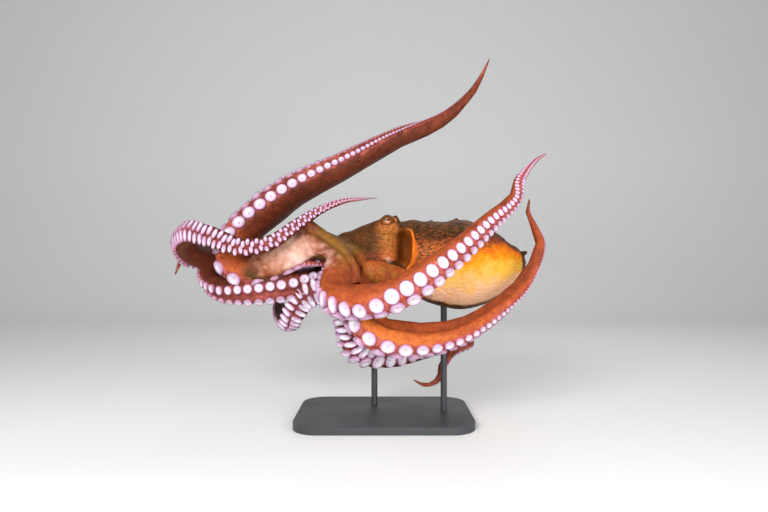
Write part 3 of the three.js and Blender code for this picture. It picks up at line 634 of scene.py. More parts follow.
def add_body(shells):
    shells.add(body_grid(MANTLE_SECTIONS, 110, 120, SIZES.fit), "mantle", mantle=1, warmth=0.5)
    shells.add(body_grid(HEAD_SECTIONS, 60, 90, SIZES.fit), "head", head=1, warmth=0.5)
    shells.add(body_grid(SIPHON_SECTIONS, 34, 36), "siphon", siphon=1, warmth=0.8)
    shells.add(ball_grid(*NAPE), "nape", mantle=0.7, head=0.3, warmth=0.5)
    shells.add(ball_grid(*FORE_HEAD), "brow", head=1, warmth=0.5)
    for side in (-1, 1):
        add_orbit(shells, side)
        add_opening_lip(shells, side)
    add_mouth(shells)


def add_orbit(shells, side):
    """The swellings round an eye, the skin over the eyeball and the two lids."""
    balls = (
        (BROW[0], BROW[1], "brow"), (ORBIT_PLACE, ORBIT_RADII * SIZES.fit, "orbit"),
        (BROW_RIDGE[0], BROW_RIDGE[1], "brow"), (EYE_PLACE, [EYE_RADIUS + EYE_COVER] * 3, ""),
    )
    for place, radii, label in balls:
        shells.add(ball_grid(mirrored(place, side), radii), label, head=1, warmth=0.6)
    along, across, out = eye_axes(side)
    for lift, thick in ((1, UPPER_LID), (-1, LOWER_LID)):
        turn = np.linspace(-0.1, np.pi + 0.1, 24) * lift
        way = along * (np.cos(turn) * LID_ARCH[0])[:, None] + across * (np.sin(turn) * LID_ARCH[1])[:, None]
        points = mirrored(EYE_PLACE, side) + unit(way + out * 0.8) * (EYE_RADIUS + LID_COVER)
        shells.add(tube_grid(points, thick * np.sin(np.linspace(0.35, np.pi - 0.35, 24))), head=1, warmth=0.45)


def add_opening_lip(shells, side):
    """The mantle's free edge round its opening, which goes under the skin at both ends."""
    turn = np.linspace(LIP_THICKNESS[0][0], LIP_THICKNESS[-1][0], 40)
    x, z = np.cos(turn) * LIP_RADII[0] + LIP_PLACE[0], np.sin(turn) * LIP_RADII[1] + LIP_PLACE[1]
    ring = np.stack([x, side * (lip_depth(z) - 6 * (1 - np.cos(turn))), z], axis=1)
    shells.add(tube_grid(ring, table(LIP_THICKNESS, turn), 14), mantle=1, warmth=1, edge=1)


def add_mouth(shells):
    """The flesh in the middle of the arms' roots, and the mouth's two lips."""
    turn = turns(48)
    ring = np.cos(turn)[:, None] * CROWN_TOP + np.sin(turn)[:, None] * CROWN_LEFT
    core = np.stack([CROWN_MIDDLE + CROWN_AXIS * far + ring * wide for far, wide in CROWN_CORE])
    shells.add(core, head=1, warmth=0.5, oral=0.6)
    for far, wide, thick in MOUTH_LIPS:
        lip = CROWN_MIDDLE + CROWN_AXIS * far + ring * wide
        grid = tube_grid(lip, thick + 0.8 * np.cos(turn * 14), 12, closed=True)
        shells.add(np.concatenate([grid, grid[:1]]), head=1, warmth=0.5, oral=1)


PAPILLAE = (
    # place, the way it points, height, radius
    ((29, -41, 96), (0.1, -0.2, 1), 5.5, 6), ((29, 41, 96), (0.1, 0.2, 1), 5.5, 6),
    ((352, -6, 8), (1, 0, 0.5), 8, 5), ((352, -12, -35), (1, -0.2, -0.3), 8, 5),
    ((180, -10, 91), (0, 0, 1), 4, 6), ((120, 14, 88), (0, 0, 1), 4, 6), ((240, 8, 74), (0.2, 0, 1), 4, 6),
)


def add_papillae(shells):
    """The few upright points of skin: over the eyes, on the back and at the tail."""
    for place, way, height, radius in PAPILLAE:
        way = unit(way)
        rise = np.linspace(-0.8, 1, 9)
        points = np.array(place, float) + way * (rise * height)[:, None]
        size = radius * np.interp(rise, [-0.8, 0, 0.6, 0.9, 1], [1.5, 1, 0.7, 0.4, 0.1])
        shells.add(tube_grid(points, size), mantle=float(place[0] > 60), head=float(place[0] <= 60), warmth=0.2)


# ---------------------------------------------------------------- suckers' places
CUP_RISE, CUP_STAND = 0.6, 0.19  # rim from the arm's middle and out of its skin, in half widths


def sucker_rows(arm):
    """Place, facing, ahead, diameter, tint and press of each sucker of an arm, from the mouth to the tip."""
    found = []
    for row, first in ((-1, 8), (1, 15)):  # the two rows stand in turn
        share = arm.ring_share + first / arm.length
        while share < 0.992:
            width = float(arm.half_width(share))
            grown = 0.35 + 0.65 * float(smooth_step(0, 95 / arm.length, share - arm.ring_share))
            size = SIZES.sucker_share * table(arm.cups, share) * width * grown
            inner = table(arm.stagger, share) * (len(found) % 2)
            found.append((share, row * (1 - inner), size))
            share += max(table(arm.pitch, share) * size, 1.6) / arm.length
    share, row, size = (np.array(column) for column in zip(*found))
    middle, ahead, face, side, width = arm.frame(share)
    splay = math.radians(SIZES.sucker_splay)
    facing = face * math.cos(splay) + side * (row * math.sin(splay))[:, None]
    rim = middle + side * (row * width * table(arm.apart, share))[:, None]
    rim = rim + face * (width * CUP_RISE)[:, None] + facing * (width * CUP_STAND)[:, None]
    return rim, unit(facing), ahead, size, table(arm.tint, share), table(arm.press, share)


# ---------------------------------------------------------------- meshes
def mesh_of(name, points, faces):
    mesh = bpy.data.meshes.new(name)
    mesh.from_pydata(points.tolist(), [], faces)
    mesh.validate()
    return mesh


def shown(name, mesh, smooth=True):
    thing = bpy.data.objects.new(name, mesh)
    bpy.context.scene.collection.objects.link(thing)
    if smooth:
        mesh.shade_smooth()
    return thing


def discard(thing):
    mesh = thing.data
    bpy.data.objects.remove(thing)
    if mesh and not mesh.users:
        bpy.data.meshes.remove(mesh)


def evaluated(thing, name):
    """The thing's mesh with its modifiers worked in, as a plain mesh."""
    graph = bpy.context.evaluated_depsgraph_get()
    graph.update()
    mesh = bpy.data.meshes.new_from_object(thing.evaluated_get(graph), depsgraph=graph)
    mesh.name = name
    return mesh


def numbers(collection, attribute, width, kind=np.float32):
    values = np.zeros(len(collection) * width, kind)
    collection.foreach_get(attribute, values)
    return values.reshape(-1, width)


def write_points(mesh, points):
    mesh.vertices.foreach_set("co", np.asarray(points, np.float32).reshape(-1))
    mesh.update()


def normals_of(mesh):
    return numbers(mesh.vertex_normals, "vector", 3).astype(float)


def neighbour_mean(values, edges, counts):
    total = np.zeros_like(values)
    for i in range(values.shape[1]):
        total[:, i] = np.bincount(edges[:, 0], values[edges[:, 1], i], len(values))
        total[:, i] += np.bincount(edges[:, 1], values[edges[:, 0], i], len(values))
    return total / counts[:, None]


def relaxed(values, mesh, rounds, strength=0.5):
    """Values evened out between neighbouring points; strength is one number or one a point."""
    edges = numbers(mesh.edges, "vertices", 2, np.int32)
    counts = np.maximum(np.bincount(edges.reshape(-1), minlength=len(values)), 1)
    strength = np.broadcast_to(np.asarray(strength, float), (len(values),))[:, None]
    values = values.reshape(len(values), -1)
    for _ in range(rounds):
        values = values + (neighbour_mean(values, edges, counts) - values) * strength
    return values


def tree_of(points):
    tree = kdtree.KDTree(len(points))
    for i, point in enumerate(points):
        tree.insert(point, i)
    tree.balance()
    return tree


def face_outwards(mesh):
    work = bmesh.new()
    work.from_mesh(mesh)
    bmesh.ops.recalc_face_normals(work, faces=work.faces)
    work.to_mesh(mesh)
    work.free()


def closed_mesh(name, grids):
    """A mesh of closed tubes with their faces outwards, and its points in animal millimetres."""
    shells = Shells()
    for grid in grids:
        shells.add(grid)
    points = np.concatenate(shells.points)
    mesh = mesh_of(name, to_frame(points), shells.faces)
    face_outwards(mesh)
    return mesh, points


def siphon_mouth():
    """The siphon's open end, and the way that it points."""
    end, before = (np.array(SIPHON_SECTIONS[i][:3], float) for i in (-1, -2))
    return end, unit(end - before)


def bore_grid(start, way, bore):
    """A round tool for a hollow from a table of (distance along the way, radius)."""
    far, radius = np.array(bore, float).T
    return tube_grid(start + way * far[:, None], radius, 32)


def cutters():
    """The hollows: mantle openings, the gaps between the lids, siphon bore and mouth."""
    grids = []
    for side in (-1, 1):
        grids.append(ball_grid(mirrored(OPENING_PLACE, side), OPENING_RADII, 44, 56, roundness=OPENING_ROUNDNESS))
        along, across, out = eye_axes(side)
        turn = turns(28)
        ring = along * (np.cos(turn) * EYE_OPENING[0])[:, None] + across * (np.sin(turn) * EYE_OPENING[1])[:, None]
        grids.append(np.stack([mirrored(EYE_PLACE, side) + (out * 0.85 + ring) * reach for reach in (3, 12, 22, 34)]))
    grids.append(bore_grid(*siphon_mouth(), SIPHON_BORE))
    grids.append(bore_grid(CROWN_MIDDLE, CROWN_AXIS, MOUTH_BORE))
    return grids


def flesh_mesh(shells, voxel):
    """One closed mesh of all shells, with the hollows cut."""
    whole = shown("flesh", mesh_of("flesh", to_frame(np.concatenate(shells.points)), shells.faces))

    def join(name):
        remesh = whole.modifiers.new(name, "REMESH")
        remesh.mode = "VOXEL"
        remesh.voxel_size = voxel

    join("join")
    tools = [shown(f"cutter_{i}", closed_mesh(f"cutter_{i}", [grid])[0]) for i, grid in enumerate(cutters())]
    for tool in tools:
        cut = whole.modifiers.new(tool.name, "BOOLEAN")
        cut.operation = "DIFFERENCE"
        cut.solver = "MANIFOLD"
        cut.object = tool
    join("even")
    made = evaluated(whole, "flesh_whole")
    for thing in (whole, *tools):
        discard(thing)
    return made


def gathered(points, shells, tree, count):
    """The facts of the nearest shell points at each point, mixed by nearness, and the label of the nearest."""
    facts = np.concatenate(shells.facts)
    labels = np.array(shells.labels)
    near = np.zeros((len(points), count), int)
    away = np.zeros((len(points), count))
    for i, point in enumerate(points):
        for k, (_, index, distance) in enumerate(tree.find_n(point, count)):
            near[i, k] = index
            away[i, k] = distance
    weight = 1 / (away + 0.8)
    weight /= weight.sum(1, keepdims=True)
    mixed = np.einsum("nk,nkf->nf", weight, facts[near])
    return dict(zip(FACTS, mixed.T)), labels[near[:, 0]]


def joints_at(mesh, labels):
    """1 where two parts of the flesh meet, fading over a few millimetres; the siphon's joint stays sharp."""
    edges = numbers(mesh.edges, "vertices", 2, np.int32)
    joint = np.zeros(len(labels))
    across = (labels[edges[:, 0]] != labels[edges[:, 1]]) & (labels[edges] != "siphon").all(axis=1)
    joint[edges[across].reshape(-1)] = 1
    for _ in range(7):
        joint = np.maximum(joint, relaxed(joint, mesh, 1, 1.0)[:, 0] * 0.97)
    return np.clip(joint * 1.6, 0, 1)


def collars_at(points, chosen):
    """How far the skin swells into collars round the large suckers, at the chosen points."""
    rims, sizes = [], []
    for arm in ARM.values():
        rim, _, _, size, _, press = sucker_rows(arm)
        wide = (size > 7) & (press > 0.8)
        rims.append(rim[wide])
        sizes.append(size[wide])
    rim_tree, sizes = tree_of(np.concatenate(rims)), np.concatenate(sizes)
    lift = np.zeros(len(points))
    for i in np.flatnonzero(chosen):
        _, index, distance = rim_tree.find(points[i])
        away = distance / sizes[index]
        lift[i] = sizes[index] * (0.08 * bump_at(0.62, 0.16, away) - 0.03 * (away > 0.8))
    return lift


def shape_in_detail(mesh, shells, tree):
    """Evens the joints, raises collars, ridges and folds, and says how far each point may be thinned."""
    points = from_frame(mesh)
    facts, labels = gathered(points, shells, tree, 2)
    head, siphon = facts["head"], facts["siphon"]
    outside = opening_depth(points) >= OPENING_BORDER
    far_from_eye = eye_distance(points) >= EYE_RADIUS + 9
    joint = joints_at(mesh, labels) * (outside & far_from_eye)
    points = relaxed(points, mesh, 2, 0.5)
    points = relaxed(points, mesh, 26, 0.5 * joint)
    write_points(mesh, to_frame(points))
    normals = normals_of(mesh)
    lift = collars_at(points, (facts["oral"] > 0.05) & (facts["arm"] > 0.3))
    # a net of ridges on the mantle and head, stronger in patches
    body = np.clip(facts["mantle"] + 0.6 * head, 0, 1) * outside
    ridge = cell_edges(points * [0.3, 1, 1] + layered_noise(points, 20, 2, 5)[:, None] * 3, 9.0, 3)
    patches = 0.5 + 0.5 * smooth_step(-0.4, 0.5, layered_noise(points, 40, 2, 9))
    lift += body * (0.9 * smooth_step(0.0, 0.5, ridge) - 0.5) * patches
    lift += (1 - siphon) * 0.5 * layered_noise(points, 14, 2, 11) + siphon * 1.1 * warts_at(points)
    lift += body * 1.2 * layered_noise(points * [0.6, 1, 1], 34, 2, 21)
    # folds that run down the neck
    neck = head * outside * bump_at(8, 22, points[:, 0]) * smooth_step(66, 40, points[:, 2])
    lift += neck * 1.3 * layered_noise(points * [1, 1, 0.2], 9, 2, 51)
    lift -= 9 * pocket_at(points) * (labels != "left_2") * (labels != "right_3") * (facts["share"] < 0.3)
    write_points(mesh, to_frame(points + normals * lift[:, None]))
    weight = np.clip(0.25 + 0.75 * (1 - body) - 0.2 * (facts["oral"] > 0.2) - 0.7 * siphon, 0.05, 1)
    weight[eye_distance(points) < EYE_RADIUS + 12] = 0.0
    return weight


def warts_at(points):
    """1 on the small rounded warts of the siphon's skin, 0 between them."""
    return smooth_step(0.05, 0.6, cell_edges(points, 7.0, 13))


def on_one_side(points):
    """The points with the left half folded over onto the right."""
    return np.stack([points[:, 0], np.abs(points[:, 1]), points[:, 2]], axis=1)


def opening_depth(points):
    """Below 1 inside the hollow of a mantle opening, growing outwards."""
    power = 2 / OPENING_ROUNDNESS
    return np.sum(np.abs((on_one_side(points) - OPENING_PLACE) / OPENING_RADII) ** power, axis=1) ** (1 / power)


def eye_distance(points):
    return np.linalg.norm(on_one_side(points) - EYE_PLACE, axis=1)


THIN_STEPS = 20  # to which the weights are rounded


def thinned(mesh, weight, most):
    """The mesh with its triangles brought down, most where the weight is high."""
    thing = shown("thinning", mesh)
    group = thing.vertex_groups.new(name="thin")
    steps = np.round(weight * THIN_STEPS).astype(int)
    for step in np.unique(steps):
        group.add(np.flatnonzero(steps == step).tolist(), float(step / THIN_STEPS), "REPLACE")
    mesh.update()
    triangles = sum(len(polygon.vertices) - 2 for polygon in mesh.polygons)
    less = thing.modifiers.new("less", "DECIMATE")
    less.ratio = most / triangles
    less.vertex_group = "thin"
    less.vertex_group_factor = SIZES.thin_bias
    less.use_collapse_triangulate = True
    made = evaluated(thing, "octopus_skin")
    discard(thing)
    return made


# ---------------------------------------------------------------- the skin's regions
REGIONS = ("pink", "pale", "olive", "dark", "bright", "cream", "glow", "hollow", "ridged", "warmth")
# height and x of the line where the inner face of the upper left web begins
HOOD_INNER_EDGE = ((-55, -106), (-23, -108), (-14, -112), (12, -123), (42, -155), (67, -202), (90, -250))
# x and height of the upper limit of the shade on the upper left arm's root
ROOT_SHADE = (
    (-340, -10), (-325, -14), (-301, -50), (-243, -60), (-213, -38), (-184, -20), (-156, 10), (-136, 20),
)
POCKET_START, POCKET_END = np.array([-136.0, -6.0]), np.array([-212.0, -36.0])  # x and height


def line_distance(points, line):
    """How far each point is from the nearest of a line's points, and which of them that is."""
    away = np.stack([np.linalg.norm(points - stop, axis=1) for stop in np.asarray(line, float)])
    return away.min(axis=0), away.argmin(axis=0)


def pocket_at(points):
    """1 in the fold between the upper left arm's root and the web's free edge, on the left."""
    flat, run = points[:, [0, 2]] - POCKET_START, POCKET_END - POCKET_START
    part = np.clip(flat @ run / np.sum(run**2), 0, 1)
    away = np.linalg.norm(flat - part[:, None] * run, axis=1)
    return smooth_step(1.3, 0.5, away / (25 - 17 * part)) * (points[:, 1] < -20)


def middle_line(sections, count):
    """Points along the middle of a part of the body."""
    return Line(np.array(sections, float)[:, :3]).at(np.linspace(0, 1, count))


def head_zone(points):
    """1 on the back of the head and of the crown, falling to 0 towards the mouth and out along the arms."""
    away, _ = line_distance(points, middle_line(HEAD_SECTIONS, 14))
    return smooth_step(18, -12, (points - CROWN_MIDDLE) @ CROWN_AXIS) * smooth_step(112, 92, away)


class Skin:
    """The points of the skin, what they know of themselves, and the noise that breaks up the borders."""

    def __init__(self, points, normals, facts, labels):
        self.__dict__.update(facts)
        self.points, self.normals, self.labels = points, normals, labels
        self.x, self.y, self.z = points.T
        self.noise = layered_noise(points, 45, 3, 31)
        self.fine = layered_noise(points, 16, 3, 41)
        self.turn = np.degrees(np.arctan2(self.z + 18, np.abs(self.y) + 1e-6))  # round the mantle, 0 at its side
        self.rising = 8 + 0.3 * np.clip(self.x - 190, 0, 110)  # the bright flank climbs towards the tail

    def between(self, label, start, full, less, end):
        """1 on one arm between two shares of its length, with soft ends."""
        return (self.labels == label) * smooth_step(start, full, self.share) * (1 - smooth_step(less, end, self.share))


def hood_of(skin):
    """The upper left web's outer band and inner band along its free edge, and the share along that edge."""
    hood = next(web for web in WEBS if web["arms"] == ("left_1", "left_2"))
    free_edge = web_point(hood, np.linspace(0, 1, 40), np.ones(40))
    from_rim, place = line_distance(skin.points, free_edge)
    hooded = np.isin(skin.labels, ("left_1_left_2", "left_1", "left_2")) * (skin.share < 0.3)
    outside = skin.x - table(HOOD_INNER_EDGE, skin.z) + 5 * skin.noise + 2 * skin.fine
    band = hooded * smooth_step(70, 52, from_rim) * smooth_step(-6, 6, outside)
    inner = hooded * smooth_step(85, 50, from_rim + 6 * skin.noise) * (1 - band)
    inner = inner * (1 - head_zone(skin.points)) * smooth_step(-45, -10, skin.z)
    return band, inner, place / (len(free_edge) - 1)


def ochre_of(skin, head):
    """The yellow-brown of the temple and round the eye."""
    temple = np.hypot(skin.x - 8 - 0.22 * (60 - skin.z), (skin.z - 52) * 0.6) + 16 * skin.noise + 8 * skin.fine
    eye = eye_distance(skin.points) + 8 * skin.noise
    return np.maximum(head * smooth_step(34, 12, temple), head * smooth_step(32, 20, eye))


def lash_of(skin):
    """The dark line round the gap between the lids."""
    along, across, out = eye_axes(1)
    away = on_one_side(skin.points) - EYE_PLACE
    lid = np.hypot(away @ along / EYE_OPENING[0], away @ across / EYE_OPENING[1]) / EYE_RADIUS
    return bump_at(1.0, 0.3, lid) * (away @ out > 0) * (eye_distance(skin.points) < EYE_RADIUS + 12)


def dark_of(skin, head, ochre, around):
    """Dark colour: pigment on the mantle's back and the back of the head, and painted shade along the mantle's
    belly line and round its tail, in the neck's fold, in two arms' furrows and where the siphon lies against the head.
    """
    x, y, z, noise, fine = skin.x, skin.y, skin.z, skin.noise, skin.fine
    # dark pigment over the mantle's back, and painted shade along its belly line and round its tail
    dark = smooth_step(5, 38, skin.turn - skin.rising + 16 * noise) + smooth_step(-60, -66, skin.turn + 3 * fine)
    dark = skin.mantle * (dark + smooth_step(332, 345, x + 5 * fine))
    back = 0.4 + 0.8 * smooth_step(-14, -52, x + 16 * noise + 6 * fine)
    dark += head * back * smooth_step(-12, 26, z + 10 * noise) * (1 - ochre) * (x < 24)
    dark += head * smooth_step(56, 76, z + 8 * noise) * smooth_step(22, 40, x) * 0.85 + lash_of(skin)
    # painted shade in the neck's fold beside the opening, and dark points over the eyes
    dark += head * bump_at(28, 5, x + 2 * fine) * (y < 0) * smooth_step(62, 40, z) * 0.45
    dark += head * smooth_step(90, 99, z + 4 * fine) * 0.75
    # painted shade in the furrows along two of the left arms
    dark += skin.between("left_3", 0.14, 0.22, 0.82, 0.9) * bump_at(-105, 6, around + 2 * fine) * 0.9
    dark += skin.between("left_1", 0.4, 0.5, 0.85, 0.95) * bump_at(128, 5, around + 3 * fine) * 0.6
    # shade where the siphon lies against the head
    near_siphon, _ = line_distance(skin.points, middle_line(SIPHON_SECTIONS, 24))
    beside = (1 - skin.siphon) * (y < 0) * smooth_step(42, 31, near_siphon + 3 * fine)
    return dark + beside * (skin.labels != "left_2") * 0.8


def hollow_of(skin, lip):
    """The walls of the mantle's openings and of the siphon's bore."""
    end, way = siphon_mouth()
    ahead = (skin.points - end) @ way
    radial = np.linalg.norm(skin.points - end - ahead[:, None] * way, axis=1)
    bore = skin.siphon * smooth_step(11.5, 9.5, radial) * (ahead > -30)
    return np.maximum(smooth_step(1.17, 1.09, opening_depth(skin.points)) * (1 - lip), bore)


def regions_of(skin):
    """How much each region of colour covers each point, from 0 to 1."""
    x, y, z, noise, fine = skin.x, skin.y, skin.z, skin.noise, skin.fine
    body, siphon, share, oral = skin.mantle, skin.siphon, skin.share, skin.oral
    around = np.degrees(np.arctan2(skin.sway, oral))  # round an arm, 0 in the middle of its sucker side
    band, inner_band, along_rim = hood_of(skin)
    head = np.maximum(skin.head, head_zone(skin.points)) * (1 - band) * (1 - np.clip(body, 0, 1)) * (1 - siphon)
    lip = np.clip(body * skin.edge * 1.6, 0, 1) * smooth_step(-11, -6, np.abs(y) - lip_depth(z))
    hollow = hollow_of(skin, lip)
    pink = smooth_step(0.42, 0.72, oral + 0.12 * fine) * (1 - band) * (1 - head)

    # the pale root of the upper left arm, its dark flap at the first bend, and the shaded pocket below it
    on_arm = (skin.labels == "left_1") & (share > 0.05)
    pale = on_arm * smooth_step(0.02, 0.09, share) * (1 - smooth_step(0.27, 0.36, share))
    pale = pale * smooth_step(-0.35, 0.25, -skin.normals[:, 1])
    flap = (skin.labels == "left_1") * (share < 0.36) * smooth_step(-337, -352, x + 8 * noise)
    pale = np.maximum(pale, inner_band) * (1 - band) * (1 - flap)
    shaded = (y < 20) * (x > -345) * smooth_step(11, -9, z - table(ROOT_SHADE, x) + 6 * noise)
    pocket = np.maximum(pocket_at(skin.points), shaded) * np.char.startswith(skin.labels, "left_1") * (share < 0.3)
    pocket *= (1 - pink * smooth_step(-225, -250, x)) * (1 - band) * (1 - flap)
    pink *= 1 - pocket
    pale *= 1 - pocket
    # a painted highlight on the cheek, and a pale patch on the fold behind the siphon
    pale = np.maximum(pale, 0.52 * head * (y < 0) * bump_at(0, 1, np.hypot((x - 10) / 13, (z + 6) / 17)))
    fold = (skin.labels == "left_2") * (y < -60) * bump_at(0, 1, np.hypot((x + 98 + 0.25 * z) / 17, (z + 22) / 34))
    pale = np.maximum(pale, 0.5 * fold)

    ochre = ochre_of(skin, head)
    olive = band * smooth_step(0.95, 0.6, along_rim + 0.12 * noise)
    olive += skin.between("left_2", 0.1, 0.2, 0.7, 0.8) * bump_at(-0.42, 0.2, oral) * (skin.sway < 0) * 0.7
    olive += np.maximum(ochre * 0.62, head * (0.46 + 0.15 * noise) * smooth_step(-24, 16, z))
    olive += siphon * (0.42 + 0.3 * fine)

    above_belly = smooth_step(-68, -58, skin.turn + 3 * fine)
    bright = body * smooth_step(18, -14, skin.turn - skin.rising + 9 * noise) * above_belly
    bright *= smooth_step(85, 135, x) * (1 - smooth_step(332, 345, x + 5 * fine))
    bright = np.maximum(bright, 0.6 * lip)
    cream = body * smooth_step(-8, -46, skin.turn + 26 * noise + 12 * fine) * above_belly * smooth_step(70, 120, x)
    glow = smooth_step(16, -42, skin.turn - 0.6 * skin.rising + 14 * noise + 12 * fine) * (1 - lip)
    # the pocket's painted shade is added to the dark colour here
    dark = dark_of(skin, head, ochre, around) * (1 - lip) * (1 - 0.9 * band) + pocket
    ridged = np.clip(body + 0.55 * head, 0, 1) * (1 - hollow) * (1 - lip)

    # warmth, from the arms' own over the parts that have another
    warmth = skin.warmth + 0.22 * noise + 0.12 * fine
    flank = 0.45 + 0.25 * noise + 0.5 * bump_at(8, 30, skin.turn) + 0.3 * smooth_step(190, 110, x) + lip
    warmth = np.where(body > 0.5, flank, warmth)
    low = smooth_step(14, -26, z + 6 * noise)
    neck = smooth_step(-20, 4, x + 9 * noise + 4 * fine)
    on_head = 0.1 + 0.24 * smooth_step(-78, -42, x) + 0.62 * low + 0.5 * neck * (1 - 0.6 * low)
    warmth = blended(warmth, on_head + 0.14 * noise + 0.08 * fine, head)
    warmth = blended(warmth, 0.7 + 0.5 * warts_at(skin.points) + 0.15 * noise, siphon)
    warmth -= skin.between("left_3", 0.14, 0.22, 0.82, 0.9) * smooth_step(-108, -118, around) * 0.3
    # painted light and shade on the pale root: lightest towards its upper right end, darker towards the lower left
    warmth = np.where((pale > 0.2) & (head < 0.5), smooth_step(-350, -205, x + 0.9 * z + 25 * noise), warmth)
    warmth = blended(warmth, 0.72 + 0.25 * noise + 0.15 * fine, flap)
    warmth = blended(warmth, 0.22 + 0.32 * along_rim + 0.15 * noise, band)
    warmth = blended(warmth, 0.45 + 0.2 * noise, inner_band)
    lit_wall = smooth_step(6, -46, z - 1.6 * (x - 52)) * smooth_step(-25, -8, z)
    warmth = np.where(hollow > 0.5, lit_wall, warmth)
    found = (pink, pale, olive, dark, bright, cream, glow, hollow, ridged, warmth)
    return {name: np.clip(value, 0, 1) for name, value in zip(REGIONS, found)}


def blended(own, other, part):
    return own * (1 - part) + other * part


def store(mesh, name, values, kind="FLOAT"):
    layer = mesh.attributes.new(name, kind, "POINT")
    if kind == "FLOAT":
        layer.data.foreach_set("value", np.asarray(values, np.float32))
    else:
        layer.data.foreach_set("vector", np.asarray(values, np.float32).reshape(-1))


# ---------------------------------------------------------------- shader helpers
class Board:
    """Adds and links nodes of one node tree."""

    def __init__(self, tree):
        self.tree = tree

    def add(self, kind, *values, **facts):
        node = self.tree.nodes.new(kind)
        inputs = facts.pop("inputs", {})
        for name, value in facts.items():
            setattr(node, name, value)
        for key, value in [*enumerate(values), *inputs.items()]:
            if value is None:
                continue
            socket = node.inputs[key]
            if isinstance(value, bpy.types.NodeSocket):
                self.tree.links.new(value, socket)
            else:
                socket.default_value = value
        return node

    def math(self, operation, *values, clamp=False):
        return self.add("ShaderNodeMath", *values, operation=operation, use_clamp=clamp).outputs[0]

    def times(self, first, second):
        return self.math("MULTIPLY", first, second)

    def join(self, value, node, name):
        self.tree.links.new(value, node.inputs[name])

    def mix(self, part, low, high, blend="MIX"):
        low, high = (tuple(c) if not isinstance(c, bpy.types.NodeSocket) else c for c in (low, high))
        node = self.add("ShaderNodeMix", data_type="RGBA", blend_type=blend, inputs={0: part, 6: low, 7: high})
        return node.outputs[2]

    def value(self, name):
        return self.add("ShaderNodeAttribute", attribute_name=name).outputs["Fac"]

    def vector(self, name):
        return self.add("ShaderNodeAttribute", attribute_name=name).outputs["Vector"]

    def ramp(self, value, *stops):
        node = self.add("ShaderNodeValToRGB", value)
        ramp = node.color_ramp
        while len(ramp.elements) < len(stops):
            ramp.elements.new(0.5)
        for element, (place, colour) in zip(ramp.elements, stops):
            element.position = place
            element.color = colour if len(colour) == 4 else (*colour, 1)
        return node.outputs["Color"]

    def span(self, value, low, high, to_low=0.0, to_high=1.0):
        return self.add(
            "ShaderNodeMapRange", value, low, high, to_low, to_high, interpolation_type="SMOOTHSTEP"
        ).outputs[0]

    def group(self, tree, **values):
        node = self.add("ShaderNodeGroup", node_tree=tree)
        for name, value in values.items():
            if isinstance(value, bpy.types.NodeSocket):
                self.join(value, node, name.replace("_", " "))
            else:
                node.inputs[name.replace("_", " ")].default_value = value
        return node.outputs

    def pigment(self, blotch_scale, speckle_scale):
        """The shared pigment pattern over the piece's own coordinates."""
        spot = self.add("ShaderNodeTexCoord").outputs["Object"]
        return self.group(pigment_group(), Place=spot, Blotch_Scale=blotch_scale, Speckle_Scale=speckle_scale)


def new_group(name, inputs, outputs, kind="ShaderNodeTree"):
    """A node group's board, its inputs and its output node."""
    tree = bpy.data.node_groups.new(name, kind)
    for title, what, value in inputs:
        socket = tree.interface.new_socket(title, in_out="INPUT", socket_type=f"NodeSocket{what}")
        if value is not None:
            socket.default_value = value
    for title, what in outputs:
        tree.interface.new_socket(title, in_out="OUTPUT", socket_type=f"NodeSocket{what}")
    board = Board(tree)
    return board, board.add("NodeGroupInput").outputs, board.add("NodeGroupOutput")


def pigment_group():
    """Blotches and speckles of pigment cells, as a mask round 0.5 and as speckles."""
    if "Pigment" in bpy.data.node_groups:
        return bpy.data.node_groups["Pigment"]
    board, given, result = new_group(
        "Pigment",
        [("Place", "Vector", None), ("Blotch Scale", "Float", 40.0), ("Speckle Scale", "Float", 350.0)],
        [("Blotch", "Float"), ("Speckle", "Float"), ("Height", "Float")],
    )

    def cloud(scale, detail, roughness):
        sockets = {"Scale": given[scale], "Detail": detail, "Roughness": roughness}
        return board.add("ShaderNodeTexNoise", given["Place"], inputs=sockets).outputs[0]

    sockets = {"Scale": given["Speckle Scale"], "Randomness": 1.0}
    cells = board.add("ShaderNodeTexVoronoi", given["Place"], inputs=sockets).outputs["Distance"]
    fine = cloud("Speckle Scale", 3.0, 0.7)
    board.join(cloud("Blotch Scale", 5.0, 0.62), result, "Blotch")
    board.join(board.times(board.span(cells, 0.15, 0.5), fine), result, "Speckle")
    board.join(board.math("ADD", board.times(cells, 0.6), fine), result, "Height")
    return board.tree


def lattice_group():
    """A net of raised ridges drawn out lengthwise, with dark furrows between them."""
    if "Ridge Net" in bpy.data.node_groups:
        return bpy.data.node_groups["Ridge Net"]
    board, given, result = new_group(
        "Ridge Net",
        [
            ("Place", "Vector", None), ("Scale", "Float", 130.0), ("Stretch", "Vector", (0.28, 1.0, 1.0)),
            ("Waviness", "Float", 0.012),
        ],
        [("Furrow", "Float"), ("Height", "Float")],
    )

    def vectors(operation, *values, **facts):
        return board.add("ShaderNodeVectorMath", *values, operation=operation, **facts).outputs[0]

    sway = board.add("ShaderNodeTexNoise", given["Place"], inputs={"Scale": 45.0, "Detail": 2.0})
    moved = vectors("SCALE", sway.outputs["Color"], inputs={"Scale": given["Waviness"]})
    drawn = vectors("MULTIPLY", vectors("ADD", given["Place"], moved), given["Stretch"])
    net = board.add("ShaderNodeTexVoronoi", drawn, feature="DISTANCE_TO_EDGE", inputs={"Scale": given["Scale"]})
    board.join(board.span(net.outputs["Distance"], 0.16, 0.02), result, "Furrow")
    board.join(board.span(net.outputs["Distance"], 0.0, 0.35), result, "Height")
    return board.tree


